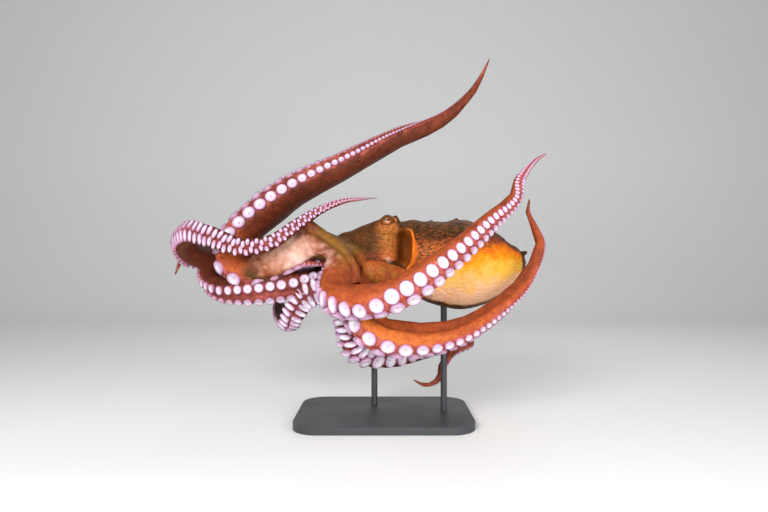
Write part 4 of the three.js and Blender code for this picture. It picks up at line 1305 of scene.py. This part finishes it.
def new_material(name, colour, roughness, **facts):
    """A material, its board and its Principled node, with the constants set on the shader itself."""
    material = bpy.data.materials.new(name)
    material.use_nodes = True
    material.diffuse_color = (*colour[:3], 1)
    tree = material.node_tree
    shader = tree.nodes["Principled BSDF"]
    shader.inputs["Base Color"].default_value = (*colour[:3], 1)
    shader.inputs["Roughness"].default_value = roughness
    for socket, value in facts.items():
        shader.inputs[socket.replace("_", " ")].default_value = value
    return material, Board(tree), shader


def bump(board, shader, height, distance, strength):
    node = board.add("ShaderNodeBump", inputs={"Strength": strength, "Distance": distance, "Height": height})
    board.join(node.outputs[0], shader, "Normal")


def skin_material(colours):
    material, board, shader = new_material(
        "Octopus_skin", colours.orange, 0.5, Subsurface_Weight=0.08, Subsurface_Scale=0.01,
        Subsurface_Radius=(1.0, 0.35, 0.2), Coat_Weight=0.05, Coat_Roughness=0.3, IOR=1.33, Specular_IOR_Level=0.2,
    )
    region = {name: board.value(name) for name in REGIONS}
    place = board.vector("lay")
    pigment = board.pigment(55.0, 420.0)
    net = board.group(lattice_group(), Place=place, Scale=150.0)
    fine_net = board.group(lattice_group(), Place=place, Scale=330.0, Stretch=(0.5, 1.0, 1.0), Waviness=0.006)
    spread = board.math("SUBTRACT", pigment["Blotch"], 0.5)

    def warped(mask, amount):
        """A region's mask with its border broken up by the blotches."""
        return board.span(board.math("MULTIPLY_ADD", spread, amount, region[mask]), 0.25, 0.75)

    warm = board.math("MULTIPLY_ADD", spread, 0.8, region["warmth"], clamp=True)
    colour = board.ramp(
        warm, (0.0, colours.brown), (0.35, colours.brick), (0.75, colours.orange), (1.0, colours.light_orange)
    )
    tan = board.ramp(warm, (0.1, colours.olive), (0.9, colours.ochre))
    colour = board.mix(warped("olive", 0.7), colour, tan)
    # dark pigment, and painted shade where the dark region covers the belly line, tail, folds and pocket
    colour = board.mix(warped("dark", 0.9), colour, colours.dark)
    glow = board.math("MULTIPLY_ADD", spread, 0.9, board.times(region["glow"], 0.75))
    amber = board.ramp(glow, (0.02, colours.flame), (0.28, colours.yellow), (0.6, colours.straw))
    colour = board.mix(warped("bright", 0.6), colour, amber)
    colour = board.mix(board.times(region["cream"], 0.9), colour, colours.cream)
    # the pale skin, going by warmth from painted shade (brick, rose) to a painted highlight (milk)
    inner = board.ramp(warm, (0.0, colours.brick), (0.3, colours.rose), (0.68, colours.pale), (1.0, colours.milk))
    colour = board.mix(warped("pale", 0.8), colour, inner)
    flesh = board.ramp(pigment["Blotch"], (0.38, colours.red), (0.62, colours.pink))
    # painted shade: the sucker sides of the browner, shaded arms are darkened to plum red
    flesh = board.mix(board.span(warm, 0.5, 0.05), flesh, colours.plum_red)
    colour = board.mix(warped("pink", 0.5), colour, flesh)

    # orange ridges and ochre flecks on the dark skin
    ridge = board.times(board.math("SUBTRACT", 1.0, net["Furrow"]), region["ridged"])
    ridge = board.times(ridge, board.times(board.span(pigment["Blotch"], 0.4, 0.62), region["dark"]))
    colour = board.mix(board.times(ridge, 0.6), colour, colours.orange)
    fleck = board.times(board.span(pigment["Speckle"], 0.34, 0.5), region["dark"])
    colour = board.mix(board.times(fleck, 0.3), colour, colours.ochre)

    # dark furrows and speckles, weaker on the light regions
    furrow = board.times(net["Furrow"], region["ridged"])
    furrow = board.times(furrow, board.math("SUBTRACT", 1.0, board.times(region["bright"], 0.85)))
    colour = board.mix(board.times(furrow, 0.85), colour, colours.dark)
    lit = board.math("MAXIMUM", board.math("MAXIMUM", region["bright"], region["cream"]), region["pale"])
    plain = board.math("SUBTRACT", 1.0, board.times(lit, 0.75))
    speck = board.times(pigment["Speckle"], board.times(plain, 0.6))
    colour = board.mix(speck, colour, colours.brown, "MULTIPLY")
    fine = board.math("SUBTRACT", 0.4, board.times(region["pink"], 0.3))
    fine = board.times(fine_net["Furrow"], board.times(fine, plain))
    colour = board.mix(fine, colour, colours.brown, "MULTIPLY")

    # the hollows: the inside's own dark colour deepened as painted shade, and the amber lower wall as painted light
    depths = board.ramp(region["warmth"], (0.1, colours.cavity), (0.9, colours.amber))
    colour = board.mix(board.span(region["hollow"], 0.3, 0.8), colour, depths)
    board.join(colour, shader, "Base Color")
    rough = board.math("MULTIPLY_ADD", region["hollow"], 0.3, board.math("MULTIPLY_ADD", pigment["Blotch"], 0.2, 0.44))
    board.join(rough, shader, "Roughness")
    height = board.times(net["Height"], region["ridged"])
    height = board.math("MULTIPLY_ADD", pigment["Height"], 0.25, height)
    height = board.math("MULTIPLY_ADD", fine_net["Height"], 0.25, height)
    height = board.times(height, board.math("SUBTRACT", 1.0, region["hollow"]))
    bump(board, shader, height, 0.0016, 0.8)
    return material


def sucker_material(colours):
    material, board, shader = new_material(
        "Sucker", colours.white, 0.38, Subsurface_Weight=0.15, Subsurface_Scale=0.006,
        Subsurface_Radius=(1.0, 0.5, 0.4), Coat_Weight=0.3, Coat_Roughness=0.2, IOR=1.38,
    )
    ring = board.value("ring")  # 0 at the middle, 1 at the rim, 2 at the foot
    tint = board.value("tint")
    pigment = board.pigment(160.0, 700.0)
    half = board.times(ring, 0.5)
    # the dark middle is painted shade in the sucker's opening; blush and lilac towards the rim are partly its own
    # colour, partly painted shade on its curve
    near = board.ramp(
        half, (0.0, colours.plum), (0.015, colours.lilac), (0.05, colours.blush), (0.09, colours.white),
        (0.25, colours.white), (0.37, colours.blush), (0.49, colours.lilac), (0.58, colours.lilac),
        (0.68, colours.red), (0.8, colours.red),
    )
    # the far ramp, chosen by tint, is darker: partly the suckers' own lilac, partly painted shade on the arms in shade
    far = board.ramp(
        half, (0.0, colours.brick), (0.08, colours.lilac), (0.2, colours.blush), (0.34, colours.lilac),
        (0.5, colours.plum), (0.6, colours.red), (0.8, colours.brick),
    )
    colour = board.mix(tint, near, far)
    colour = board.mix(board.times(board.span(pigment["Blotch"], 0.45, 0.7), 0.25), colour, colours.lilac)
    board.join(colour, shader, "Base Color")
    spokes = board.times(board.math("SINE", board.value("spoke")), board.span(ring, 0.2, 0.6))
    bump(board, shader, board.math("MULTIPLY_ADD", spokes, 0.25, pigment["Height"]), 0.0004, 0.6)
    return material


def eye_material(colours):
    material, board, shader = new_material("Eye", colours.iris, 0.25, Coat_Weight=0.8, Coat_Roughness=0.09, IOR=1.4)
    place = board.vector("gaze")
    parts = board.add("ShaderNodeSeparateXYZ", place).outputs
    pigment = board.pigment(300.0, 1500.0)
    wide = board.math("ABSOLUTE", parts["X"])
    slit = board.math("MULTIPLY_ADD", board.math("POWER", wide, 2.0), -0.22, 0.16)
    high = board.math("ABSOLUTE", board.math("ADD", parts["Y"], -0.14))
    pupil = board.span(board.math("SUBTRACT", high, slit), 0.035, -0.01)
    pupil = board.times(pupil, board.span(wide, 0.6, 0.5))
    away = board.add("ShaderNodeVectorMath", place, operation="LENGTH").outputs["Value"]
    iris = board.ramp(pigment["Blotch"], (0.3, colours.brick), (0.5, colours.iris), (0.72, colours.light_orange))
    colour = board.mix(board.span(away, 0.55, 0.75), iris, colours.brown)
    colour = board.mix(pupil, colour, (0.004, 0.003, 0.003, 1))
    board.join(colour, shader, "Base Color")
    bump(board, shader, pigment["Height"], 0.0002, 0.3)
    return material


def beak_material(colours):
    material, board, shader = new_material("Beak", colours.cavity, 0.3, Coat_Weight=0.4, Coat_Roughness=0.2)
    pigment = board.pigment(90.0, 900.0)
    colour = board.ramp(pigment["Blotch"], (0.35, (0.008, 0.006, 0.005)), (0.7, colours.brown))
    board.join(colour, shader, "Base Color")
    bump(board, shader, pigment["Height"], 0.0002, 0.4)
    return material


def stand_material(colours):
    material, board, shader = new_material("Stand_paint", colours.stand, 0.5, Coat_Weight=0.1, Coat_Roughness=0.4)
    spot = board.add("ShaderNodeTexCoord").outputs["Object"]
    grain = board.add("ShaderNodeTexNoise", spot, inputs={"Scale": 900.0, "Detail": 3.0})
    dust = board.add("ShaderNodeTexNoise", spot, inputs={"Scale": 9.0, "Detail": 4.0})
    dark = tuple(c * 0.7 for c in colours.stand[:3])
    colour = board.ramp(dust.outputs[0], (0.35, dark), (0.7, colours.stand))
    board.join(colour, shader, "Base Color")
    board.join(board.span(dust.outputs[0], 0.3, 0.7, 0.42, 0.56), shader, "Roughness")
    bump(board, shader, grain.outputs[0], 0.0003, 0.5)
    return material


# ---------------------------------------------------------------- a user's sizes and colours
def size(name, description, default, **facts):
    return FloatProperty(name=name, description=description, default=default, **facts)


def tone(name, description, default):
    return FloatVectorProperty(
        name=name, description=description, default=(*default, 1.0), subtype="COLOR", size=4, min=0, max=1
    )


class OctopusSizes(bpy.types.PropertyGroup):
    """Sizes of the visual detail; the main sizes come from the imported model."""

    fit: size("Skin fit", "Skin radius as a share of the solids' own", 0.97, min=0.8, max=1)
    voxel: size(
        "Skin cell", "Cell size at which the flesh is joined, in metres", 0.0018,
        unit="LENGTH", min=0.001, max=0.006,
    )
    triangles: IntProperty(
        name="Skin triangles", description="Most triangles in the skin", default=188000, min=20000, max=199000
    )
    thin_bias: size("Thinning bias", "How much more the plain parts are thinned", 2.0, min=0, max=10)
    web_thickness: size("Web thickness", "Thickness of the webs, in millimetres", 5.0, min=1, max=12)
    sucker_share: size("Sucker size", "Sucker diameter in half widths of its arm", 0.95, min=0.3, max=1.2)
    sucker_splay: size("Sucker splay", "Degrees that the two rows face apart", 25.0, min=0, max=80)
    sucker_wobble: size("Sucker wobble", "Random tilt of a sucker, in radians", 0.07, unit="ROTATION", min=0, max=0.6)


class OctopusColours(bpy.types.PropertyGroup):
    """Colours of the skin, the suckers, the eyes and the stand."""

    brown: tone("Brown", "Dark pigment", (0.065, 0.02, 0.01))
    # also the colour of the painted shade along the mantle's belly line, round its tail, in folds and in the pocket
    dark: tone("Dark", "Back of the mantle and head", (0.04, 0.017, 0.006))
    brick: tone("Brick", "Backs of the arms", (0.22, 0.045, 0.02))
    orange: tone("Orange", "Lit arms", (0.54, 0.105, 0.028))
    light_orange: tone("Light orange", "Lightest pigment", (0.78, 0.20, 0.035))
    flame: tone("Flame", "Upper part of the mantle's flank", (0.95, 0.19, 0.006))
    yellow: tone("Yellow", "Flank of the mantle", (1.0, 0.36, 0.006))
    straw: tone("Straw", "Lightest part of the flank", (1.0, 0.53, 0.06))
    rose: tone("Rose", "Shaded skin of the inner webs", (0.42, 0.15, 0.08))
    # rose and milk are the painted shade and the painted highlight of the inner webs' pale skin
    milk: tone("Milk", "Lightest skin of the inner webs", (0.86, 0.64, 0.58))
    cream: tone("Cream", "Underside of the mantle", (1.0, 0.57, 0.37))
    pale: tone("Pale", "Skin of the inner webs", (0.72, 0.44, 0.35))
    olive: tone("Olive", "Rims of the webs", (0.17, 0.09, 0.02))
    ochre: tone("Ochre", "Brow and siphon", (0.56, 0.225, 0.035))
    amber: tone("Amber", "Lit wall of the mantle's openings", (0.36, 0.1, 0.003))
    pink: tone("Pink", "Skin between the suckers", (0.66, 0.17, 0.13))
    red: tone("Red", "Folds between the suckers", (0.40, 0.065, 0.04))
    # painted shade on the sucker sides of the arms in shade
    plum_red: tone("Plum red", "Sucker sides of the brown arms", (0.24, 0.05, 0.04))
    white: tone("White", "Faces of the suckers", (0.71, 0.67, 0.72))
    # blush, with the lilac beyond it, is partly the rim's own colour and partly painted shade on the cup's curve
    blush: tone("Blush", "Between a sucker's face and its rim", (0.66, 0.54, 0.66))
    lilac: tone("Lilac", "Rims of the suckers", (0.46, 0.27, 0.42))
    # plum also paints the shade in a sucker's central opening
    plum: tone("Plum", "Small suckers' rims", (0.30, 0.11, 0.16))
    # the inside's own dark colour, deepened as painted shade of the hollow
    cavity: tone("Cavity", "Inside of the mantle", (0.105, 0.023, 0.0008))
    iris: tone("Iris", "Colour of the eyes", (0.36, 0.11, 0.02))
    stand: tone("Stand", "Paint of the stand", (0.035, 0.037, 0.042))


class OctopusScene(bpy.types.PropertyGroup):
    """Everything that a user would change."""

    sizes: PointerProperty(type=OctopusSizes)
    colours: PointerProperty(type=OctopusColours)


def settings():
    return bpy.context.scene.octopus


class _Sizes:
    """The sizes, read from the scene where they are used."""

    def __getattr__(self, name):
        return getattr(settings().sizes, name)


SIZES = _Sizes()


# ---------------------------------------------------------------- pieces
def finish_piece(thing, material, slot_name, *nodes):
    thing.data.materials.clear()
    thing.data.materials.append(material)
    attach(thing, "root")
    if nodes:
        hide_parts(*nodes)


def make_skin():
    shells = Shells()
    for arm in ARM.values():
        add_arm(shells, arm, 5, 44)
    for web in WEBS:
        add_web(shells, web, 30, 14)
    add_body(shells)
    add_papillae(shells)
    dense = flesh_mesh(shells, SIZES.voxel)
    tree = tree_of(np.concatenate(shells.points))
    mesh = thinned(dense, shape_in_detail(dense, shells, tree), SIZES.triangles)
    points = from_frame(mesh)
    facts, labels = gathered(points, shells, tree, 6)
    for name, values in regions_of(Skin(points, normals_of(mesh), facts, labels)).items():
        store(mesh, name, relaxed(values, mesh, 3)[:, 0])
    on_arm = facts["arm"][:, None]
    straight = np.stack([facts["along"], facts["across"], facts["deep"]], axis=1)
    lay = relaxed(straight * on_arm + points * (1 - on_arm), mesh, 2)
    store(mesh, "lay", lay / 1000, "FLOAT_VECTOR")
    kept = (*REGIONS, "lay", "position")
    spare = [layer.name for layer in mesh.attributes if layer.name not in kept and not layer.is_required]
    for name in spare:
        if not name.startswith("."):
            mesh.attributes.remove(mesh.attributes[name])
    finish_piece(shown("octopus_skin", mesh), skin_material(settings().colours), "body_skin", *FLESH)


CUP_SIDES = 12
CUP_SPOKES = 9  # fine folds round a cup
# radius, height and place on the cup: 0 its middle, 1 its rim, 2 its foot
CUP_PROFILE = (
    (0.13, -0.1, 0.2), (0.3, -0.02, 0.6), (0.44, 0.035, 0.88), (0.5, -0.06, 1.0), (0.4, -0.28, 1.25), (0.5, -0.62, 2.0),
)


def cup_mesh():
    """One sucker of unit diameter round its rim's middle, facing +Z."""
    points, faces, ring, spoke = [(0, 0, -0.13)], [], [0.0], [0.0]
    for radius, height, place in CUP_PROFILE:
        for i in range(CUP_SIDES):
            turn = 2 * math.pi * i / CUP_SIDES
            points.append((radius * math.cos(turn), radius * math.sin(turn), height))
            ring.append(place)
            spoke.append(turn * CUP_SPOKES)
    for i in range(CUP_SIDES):
        after = (i + 1) % CUP_SIDES
        faces.append((0, 1 + i, 1 + after))
        for k in range(len(CUP_PROFILE) - 1):
            low, high = 1 + k * CUP_SIDES, 1 + (k + 1) * CUP_SIDES
            faces.append((low + i, high + i, high + after, low + after))
    last = 1 + (len(CUP_PROFILE) - 1) * CUP_SIDES
    faces.append(tuple(last + i for i in reversed(range(CUP_SIDES))))
    mesh = mesh_of("cup", np.array(points), faces)
    store(mesh, "ring", ring)
    store(mesh, "spoke", spoke)
    return mesh


def sucker_tree():
    """Geometry nodes that stand a cup on every point, facing and pressed as the point says."""
    if "Sucker Rows" in bpy.data.node_groups:
        return bpy.data.node_groups["Sucker Rows"]
    board, given, result = new_group(
        "Sucker Rows",
        [
            ("Geometry", "Geometry", None), ("Cup", "Object", None), ("Size", "Float", 1.0),
            ("Wobble", "Float", 0.0), ("Seed", "Int", 0), ("Material", "Material", None),
        ],
        [("Geometry", "Geometry")],
        "GeometryNodeTree",
    )

    def fact(name, kind):
        return board.add("GeometryNodeInputNamedAttribute", name, data_type=kind).outputs["Attribute"]

    def turned(kind, sockets, **facts):
        return board.add(f"FunctionNode{kind}", inputs=sockets, **facts).outputs[0]

    turn = turned("AlignRotationToVector", {"Vector": fact("facing", "FLOAT_VECTOR")}, axis="Z")
    sockets = {"Rotation": turn, "Vector": fact("ahead", "FLOAT_VECTOR")}
    turn = turned("AlignRotationToVector", sockets, axis="X", pivot_axis="Z")
    low, high = (
        board.add("ShaderNodeCombineXYZ", limit, limit, limit).outputs[0]
        for limit in (board.times(given["Wobble"], -1.0), given["Wobble"])
    )
    sockets = {"Min": low, "Max": high, "Seed": given["Seed"]}
    shake = board.add("FunctionNodeRandomValue", data_type="FLOAT_VECTOR", inputs=sockets).outputs[0]
    sockets = {"Rotation": turn, "Rotate By": board.add("FunctionNodeEulerToRotation", shake).outputs[0]}
    turn = turned("RotateRotation", sockets, rotation_space="LOCAL")
    wide = board.times(fact("size", "FLOAT"), given["Size"])
    scale = board.add("ShaderNodeCombineXYZ", board.times(wide, fact("press", "FLOAT")), wide, wide).outputs[0]
    cup = board.add("GeometryNodeObjectInfo", inputs={"Object": given["Cup"]}).outputs["Geometry"]
    sockets = {"Points": given["Geometry"], "Instance": cup, "Rotation": turn, "Scale": scale}
    stood = board.add("GeometryNodeInstanceOnPoints", inputs=sockets)
    real = board.add("GeometryNodeRealizeInstances", stood.outputs[0])
    smooth = board.add("GeometryNodeSetShadeSmooth", real.outputs[0])
    sockets = {"Geometry": smooth.outputs[0], "Material": given["Material"]}
    board.join(board.add("GeometryNodeSetMaterial", inputs=sockets).outputs[0], result, "Geometry")
    return board.tree


def set_inputs(modifier, **values):
    """Sets a nodes modifier's inputs by their sockets' identifiers."""
    for item in modifier.node_group.interface.items_tree:
        if item.item_type == "SOCKET" and item.in_out == "INPUT" and item.name in values:
            modifier[item.identifier] = values[item.name]


def make_suckers():
    cup = shown("cup", cup_mesh())
    material = sucker_material(settings().colours)
    for number, arm in enumerate(ARM.values()):
        rim, facing, ahead, size, tint, press = sucker_rows(arm)
        host_mesh = mesh_of("rows", to_frame(rim), [])
        for name, values in (("facing", facing), ("ahead", ahead)):
            store(host_mesh, name, values, "FLOAT_VECTOR")
        store(host_mesh, "size", size / 1000)
        store(host_mesh, "press", press)
        store(host_mesh, "tint", tint)
        host = shown("rows", host_mesh, smooth=False)
        modifier = host.modifiers.new("suckers", "NODES")
        modifier.node_group = sucker_tree()
        set_inputs(modifier, Cup=cup, Size=1.0, Wobble=SIZES.sucker_wobble, Seed=number, Material=material)
        mesh = evaluated(host, f"suckers_{arm.name}")
        discard(host)
        finish_piece(shown(f"suckers_{arm.name}", mesh), material, "sucker")
    discard(cup)


def make_eyes():
    material = eye_material(settings().colours)
    for side, name in ((-1, "left"), (1, "right")):
        along, across, out = eye_axes(side)
        place = mirrored(EYE_PLACE, side)
        grid = ball_grid((0, 0, 0), (1, 1, 1), 40, 48, np.array([along, across, out]))
        # the clear front stands a little proud of the ball
        swell = 1 + 0.05 * smooth_step(0.72, 0.95, np.clip(grid @ out, 0, 1))
        mesh, points = closed_mesh(f"eye_ball_{name}", [place + grid * (EYE_RADIUS * 0.995) * swell[..., None]])
        local = (points - place) / EYE_RADIUS
        front = np.where(local @ out > 0, 1.0, 3.0)  # no pupil on the back of the ball
        slit = np.stack([local @ along * front, local @ across * front, np.zeros(len(local))], axis=1)
        store(mesh, "gaze", slit, "FLOAT_VECTOR")
        finish_piece(shown(f"eye_ball_{name}", mesh), material, "eye", f"eye_{name}")


def make_beak():
    grids = []
    for lift, length in ((1, 15), (-1, 12)):
        rise = np.linspace(0, 1, 16)
        points = CROWN_MIDDLE + CROWN_AXIS * (2 + length * rise)[:, None]
        points = points + CROWN_TOP * (lift * (4.2 - 4.0 * rise**2))[:, None]
        grids.append(tube_grid(points, 5.2 * (1 - rise**1.6) + 0.5, 16))
    mesh, _ = closed_mesh("beak", grids)
    finish_piece(shown("beak", mesh), beak_material(settings().colours), "eye")


def finish_stand():
    material = stand_material(settings().colours)
    for name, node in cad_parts.items():
        if name.startswith("stand_"):
            for holder in node.material_slots:
                holder.material = material


def soft_light(name, place, target, width, power):
    light = bpy.data.lights.new(name, "AREA")
    light.shape = "DISK"
    light.size = width
    light.energy = power
    thing = bpy.data.objects.new(name, light)
    thing.location = place
    thing.rotation_euler = (Vector(target) - Vector(place)).to_track_quat("-Z", "Y").to_euler()
    bpy.context.scene.collection.objects.link(thing)


# name, place from the animal's middle in metres, width in metres and power in watts
LIGHTS = (
    ("key", (-0.9, -2.2, 0.9), 1.3, 62), ("fill", (1.6, -1.7, 0.3), 1.8, 24), ("rim", (0.6, 1.6, 1.7), 1.4, 10),
    ("low", (0.3, -1.7, -0.3), 1.2, 16),
)
# the floor and the wall behind it, in metres
FLOOR_FRONT, FLOOR_BACK, FLOOR_SIDE, WALL_TOP, WALL_BEND = -4, 2.2, 7, 4.5, 1.2


def make_stage():
    bend = np.linspace(0.1, math.pi / 2, 12)
    rise = [(FLOOR_FRONT, 0), (FLOOR_BACK, 0)]
    rise += [(FLOOR_BACK + WALL_BEND * math.sin(t), WALL_BEND - WALL_BEND * math.cos(t)) for t in bend]
    rise += [(FLOOR_BACK + WALL_BEND, WALL_TOP)]
    points = np.array([(x, y, z) for y, z in rise for x in (-FLOOR_SIDE, FLOOR_SIDE)])
    faces = [(2 * i, 2 * i + 1, 2 * i + 3, 2 * i + 2) for i in range(len(rise) - 1)]
    floor = shown("studio_floor", mesh_of("studio_floor", points, faces))
    floor.data.materials.append(new_material("Studio_floor", (0.88, 0.88, 0.87), 0.7)[0])
    middle = to_frame((0, 0, 20))
    for name, place, width, power in LIGHTS:
        soft_light(name, middle + place, middle, width, power)
    world = bpy.data.worlds.new("studio")
    world.use_nodes = True
    sky = world.node_tree.nodes["Background"].inputs
    sky["Color"].default_value = (0.85, 0.87, 0.88, 1)
    sky["Strength"].default_value = 0.4
    bpy.context.scene.world = world
    bpy.context.scene.view_settings.view_transform = "Standard"
    camera = bpy.data.cameras.new("camera")
    camera.lens = 28
    camera.sensor_width = 36
    thing = bpy.data.objects.new("camera", camera)
    thing.location = to_frame((0, -1500, 0))
    thing.rotation_euler = (math.pi / 2, 0, 0)
    bpy.context.scene.collection.objects.link(thing)
    bpy.context.scene.camera = thing


# ---------------------------------------------------------------- operators and panel
class OCTOPUS_OT_skin(bpy.types.Operator):
    """Joins arms, webs, head, mantle and siphon into one skin and finishes it"""

    bl_idname = "octopus.skin"
    bl_label = "Skin"

    def execute(self, context):
        make_skin()
        return {"FINISHED"}


class OCTOPUS_OT_suckers(bpy.types.Operator):
    """Stands two rows of suckers on each arm"""

    bl_idname = "octopus.suckers"
    bl_label = "Suckers"

    def execute(self, context):
        make_suckers()
        return {"FINISHED"}


class OCTOPUS_OT_eyes(bpy.types.Operator):
    """Makes the two eyeballs with their slit pupils"""

    bl_idname = "octopus.eyes"
    bl_label = "Eyes"

    def execute(self, context):
        make_eyes()
        return {"FINISHED"}


class OCTOPUS_OT_beak(bpy.types.Operator):
    """Makes the two halves of the beak inside the mouth"""

    bl_idname = "octopus.beak"
    bl_label = "Beak"

    def execute(self, context):
        make_beak()
        return {"FINISHED"}


class OCTOPUS_OT_stand(bpy.types.Operator):
    """Gives the display stand its satin paint"""

    bl_idname = "octopus.stand"
    bl_label = "Stand finish"

    def execute(self, context):
        finish_stand()
        return {"FINISHED"}


class OCTOPUS_OT_stage(bpy.types.Operator):
    """Sets up the floor, the soft lights and the camera"""

    bl_idname = "octopus.stage"
    bl_label = "Studio"

    def execute(self, context):
        make_stage()
        return {"FINISHED"}


OPERATORS = (
    OCTOPUS_OT_skin, OCTOPUS_OT_suckers, OCTOPUS_OT_eyes, OCTOPUS_OT_beak, OCTOPUS_OT_stand, OCTOPUS_OT_stage,
)


class OCTOPUS_PT_panel(bpy.types.Panel):
    """Lists the pieces and their settings"""

    bl_idname = "OCTOPUS_PT_panel"
    bl_label = "Octopus"
    bl_space_type = "VIEW_3D"
    bl_region_type = "UI"
    bl_category = "Octopus"

    def draw(self, context):
        for operator in OPERATORS:
            self.layout.operator(operator.bl_idname, text=operator.bl_label)
        for group in (context.scene.octopus.sizes, context.scene.octopus.colours):
            box = self.layout.box()
            for name in group.bl_rna.properties.keys():
                if name not in ("rna_type", "name"):
                    box.prop(group, name)


CLASSES = (OctopusSizes, OctopusColours, OctopusScene, *OPERATORS, OCTOPUS_PT_panel)


def register():
    for item in CLASSES:
        bpy.utils.register_class(item)
    bpy.types.Scene.octopus = PointerProperty(type=OctopusScene)


def unregister():
    del bpy.types.Scene.octopus
    for item in reversed(CLASSES):
        bpy.utils.unregister_class(item)


def main():
    register()
    bpy.ops.octopus.skin()
    bpy.ops.octopus.suckers()
    bpy.ops.octopus.eyes()
    bpy.ops.octopus.beak()
    bpy.ops.octopus.stand()
    bpy.ops.octopus.stage()


if __name__ == "__main__":
    main()
